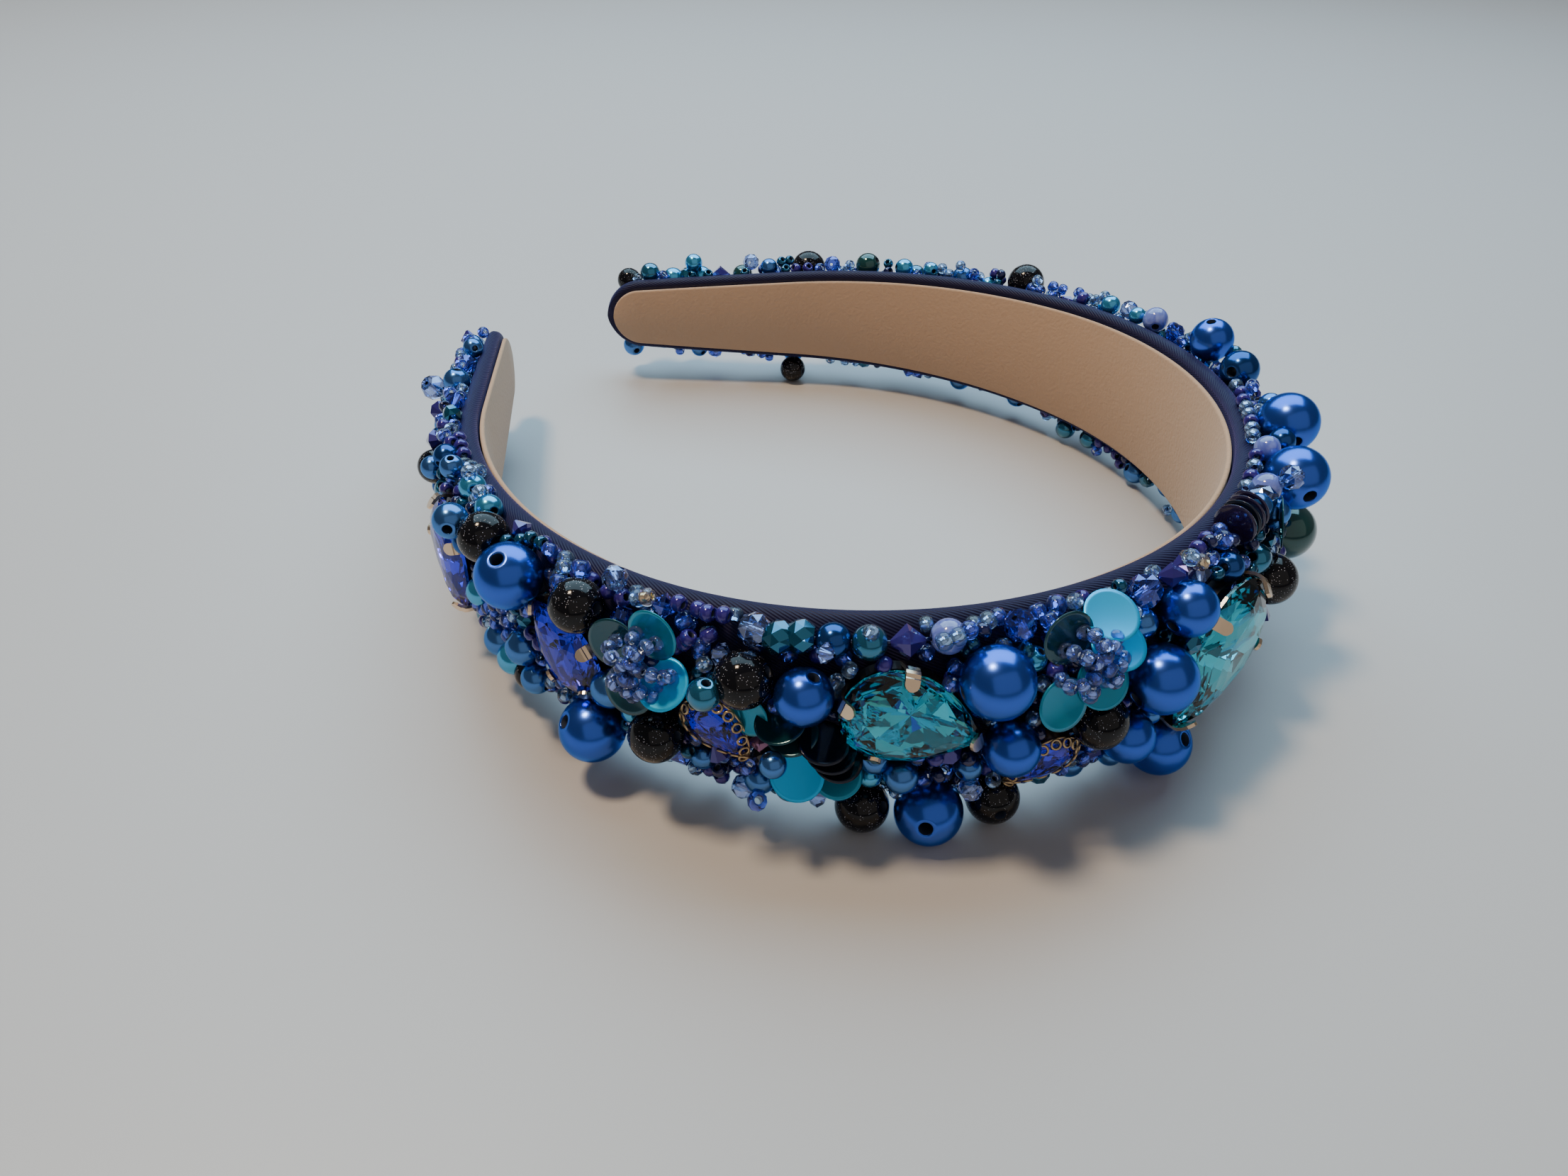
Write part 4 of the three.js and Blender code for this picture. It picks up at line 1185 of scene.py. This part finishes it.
class Face:
    """The padded face with all that has been sewn on it so far. A slack under 1 lets pieces press closer."""

    MOST_PIECES = 20000
    NEIGHBOURHOOD = 8 * MM
    HEIGHT_STEP = 0.2 * MM

    def __init__(self, taken):
        self.room = np.zeros((self.MOST_PIECES, 4))
        self.count = len(taken)
        self.room[: self.count] = taken

    def clear(self, centres, radius, slack):
        near = self.room[: self.count]
        apart = np.linalg.norm(near[:, :3] - centres[0], axis=1)
        near = near[apart < near[:, 3] + radius + self.NEIGHBOURHOOD]
        if not len(near):
            return np.ones(len(centres), dtype=bool)
        apart = np.linalg.norm(centres[:, None] - near[None, :, :3], axis=2)
        return (apart > (near[:, 3] + radius) * slack).all(axis=1)

    def lowest(self, along, over, radius, most, slack=USUAL_SLACK):
        """The lowest free seat for a round piece above a place on the face."""
        heights = np.arange(radius, most, self.HEIGHT_STEP)
        centres, along, over, out = seat_at(along * HALF_LENGTH, over * QUARTER, heights)
        clear = self.clear(centres, radius, slack)
        if not clear.any():
            return None
        k = int(np.argmax(clear))
        return centres[k], along[k], over[k], out[k]

    def take(self, centre, radius):
        self.room[self.count] = (*centre, radius)
        self.count += 1


LOWEST_OVER = -0.99
LOWEST_ON_ARMS = -0.82
HIGHEST_OVER = 0.8
ARM_START = 0.5
LEFT_MARGIN = 5.5 * MM
RIGHT_MARGIN = 2.4 * MM


def in_face(along, over, radius):
    lowest = LOWEST_OVER if abs(along) < ARM_START else LOWEST_ON_ARMS
    inside = LEFT_MARGIN + radius - HALF_LENGTH < along * HALF_LENGTH < HALF_LENGTH - RIGHT_MARGIN - radius
    return inside and lowest < over < HIGHEST_OVER


class Sewing:
    """Small beads gathered by kind, one mesh for each."""

    def __init__(self, face, rng):
        self.face = face
        self.rng = rng
        self.heaps = {}

    def sew(self, kind, size, along, over, most, heading=None, slack=USUAL_SLACK):
        SEED_ROOM = 0.87
        SEED_LEANS, BEAD_LEANS = (-0.15, 0.25), (0, 0.9)
        seed = kind.startswith("seed")
        radius = size / 2
        room = radius * SEED_ROOM if seed else radius
        found = self.face.lowest(along, over, room, most, slack)
        if found is None:
            return False
        centre, onward, upward, out = found
        turn = self.rng.uniform(0, 2 * math.pi) if heading is None else heading
        lean = self.rng.uniform(*(SEED_LEANS if seed else BEAD_LEANS))
        axis = onward * math.cos(turn) + upward * math.sin(turn) + out * lean
        shape, finishes, smooth = small_shape(kind, radius)
        self.heaps.setdefault(kind, Heap()).add(shape, pointed(centre, axis), finishes, smooth)
        self.face.take(centre, room)
        return True

    def build(self):
        for kind, heap in self.heaps.items():
            slot = "pearl" if kind.startswith(("pearl", "round")) else "seed_glass"
            heap.build(f"{kind}_beads", slot)


def loose_sequins():
    heap = Heap()
    for disc in LOOSE_SEQUINS:
        lift, radius = disc["lift_mm"] * MM, disc["radius_mm"] * MM
        centre, along, over, out = seat_at(disc["along"] * HALF_LENGTH, disc["over"] * QUARTER, lift)
        about_along, about_over = (math.radians(angle) for angle in disc["lean"])
        axis = out * math.cos(about_along) * math.cos(about_over)
        axis = axis + over * math.sin(about_along) + along * math.sin(about_over)
        lay_sequin(heap, centre, axis, radius, 0.3 * MM, disc["finish"])
    heap.build("loose_sequins", "sequin")


def sew_singles(sewing):
    MOST = 8 * MM
    SLACK = 0.86
    for piece in SINGLES:
        size = piece["size_mm"] * MM
        sewing.sew(piece["kind"], size, piece["along"], piece["over"], MOST, slack=SLACK)


def sew_stitches(sewing):
    SIZE = 2.6 * MM
    MOST = 6 * MM
    SLACK = 0.8
    for stitch in STITCHES:
        start, end = np.array(stitch["start"]), np.array(stitch["end"])
        kinds = stitch["kinds"].split()
        way = (end - start) * (HALF_LENGTH, CROWN_WIDTH / 2 * QUARTER)
        heading = math.atan2(way[1], way[0])
        for k in range(stitch["count"]):
            along, over = start + (end - start) * k / (stitch["count"] - 1)
            sewing.sew(kinds[k % len(kinds)], SIZE, along, over, MOST, heading, SLACK)


def fill_beads(sewing):
    RISE = 2.2 * MM
    for bead in FILL_BEADS:
        size = bead["size_mm"] * MM
        for _ in range(bead["tries"]):
            along = sewing.rng.uniform(-1, 1)
            over = sewing.rng.uniform(LOWEST_OVER, HIGHEST_OVER)
            if in_face(along, over, size / 2):
                sewing.sew(bead["kind"], size, along, over, size / 2 + RISE)


def fill_seeds(sewing):
    """Short stitches of seed beads, one after another, until the face is full."""
    TRIES = 4600
    MOST = 3.6 * MM
    rng = sewing.rng
    shares = [seed["share"] for seed in FILL_SEEDS]
    for _ in range(TRIES):
        seed = FILL_SEEDS[int(rng.choice(len(FILL_SEEDS), p=shares))]
        size = seed["size_mm"] * MM
        step = size * 0.8
        along = rng.uniform(-1, 1)
        over = rng.uniform(LOWEST_OVER, HIGHEST_OVER)
        heading = rng.uniform(0, 2 * math.pi)
        for _ in range(int(rng.integers(1, 7))):
            if not in_face(along, over, size / 2):
                break
            if not sewing.sew(seed["kind"], size, along, over, MOST, heading):
                break
            along += step * math.cos(heading) / HALF_LENGTH
            over += step * math.sin(heading) / (half_width_at(along * HALF_LENGTH) * QUARTER)
            heading += rng.uniform(-0.35, 0.35)


def sew_all():
    loose_sequins()
    face = Face(TAKEN)
    sewing = Sewing(face, np.random.default_rng(RANDOM_SEED))
    sew_singles(sewing)
    sew_stitches(sewing)
    fill_beads(sewing)
    fill_seeds(sewing)
    sewing.build()


sew_all()


# Floor, light and camera

def floor():
    SIZE = 6.0
    half = SIZE / 2
    mesh = bpy.data.meshes.new("floor")
    outline = [(-half, -half, 0), (half, -half, 0), (half, half, 0), (-half, half, 0)]
    mesh.from_pydata(outline, [], [(0, 1, 2, 3)])
    mesh.materials.append(FINISHES["floor"])
    plane = shown("floor", mesh)


def area_light(name, place, size, power, colour):
    """A light that faces the middle of the floor."""
    data = bpy.data.lights.new(name, "AREA")
    data.shape = "RECTANGLE"
    data.size, data.size_y = size
    data.energy = power
    data.color = colour
    lamp = shown(name, data)
    lamp.location = place
    lamp.rotation_euler = (-Vector(place)).to_track_quat("-Z", "Y").to_euler()


def lights():
    world = bpy.data.worlds.new("world")
    bpy.context.scene.world = world
    world.use_nodes = True
    background = world.node_tree.nodes["Background"]
    background.inputs["Color"].default_value = (0.84, 0.84, 0.88, 1)
    background.inputs["Strength"].default_value = 0.14
    area_light("window", (0.27, 0.23, 0.51), (0.9, 0.6), 6.3, (0.5, 0.8, 1.0))
    area_light("lamp", (-0.3, 0.33, 1.25), (0.2, 0.2), 13.2, (1.0, 0.74, 0.47))
    area_light("fill", (-0.4, -0.8, 0.65), (1.8, 1.2), 2.0, (1.0, 0.9, 0.8))


def camera():
    PLACE = (-143.116 * MM, -117.596 * MM, 128.819 * MM)
    FORWARD = Vector((0.58788527, 0.53091929, -0.61034057))
    RIGHT = Vector((0.67969139, -0.73330576, 0.01680109))
    FOCAL_PIXELS = 1603.25
    PHOTO_WIDTH = 2212
    SENSOR = 36.0
    data = bpy.data.cameras.new("camera")
    data.sensor_width = SENSOR
    data.lens = SENSOR * FOCAL_PIXELS / PHOTO_WIDTH
    data.clip_start = 0.005
    thing = shown("camera", data)
    up = RIGHT.cross(FORWARD)
    turn = Matrix((RIGHT, up, -FORWARD)).transposed()
    thing.matrix_world = Matrix.Translation(PLACE) @ turn.to_4x4()
    bpy.context.scene.camera = thing


floor()
lights()
camera()
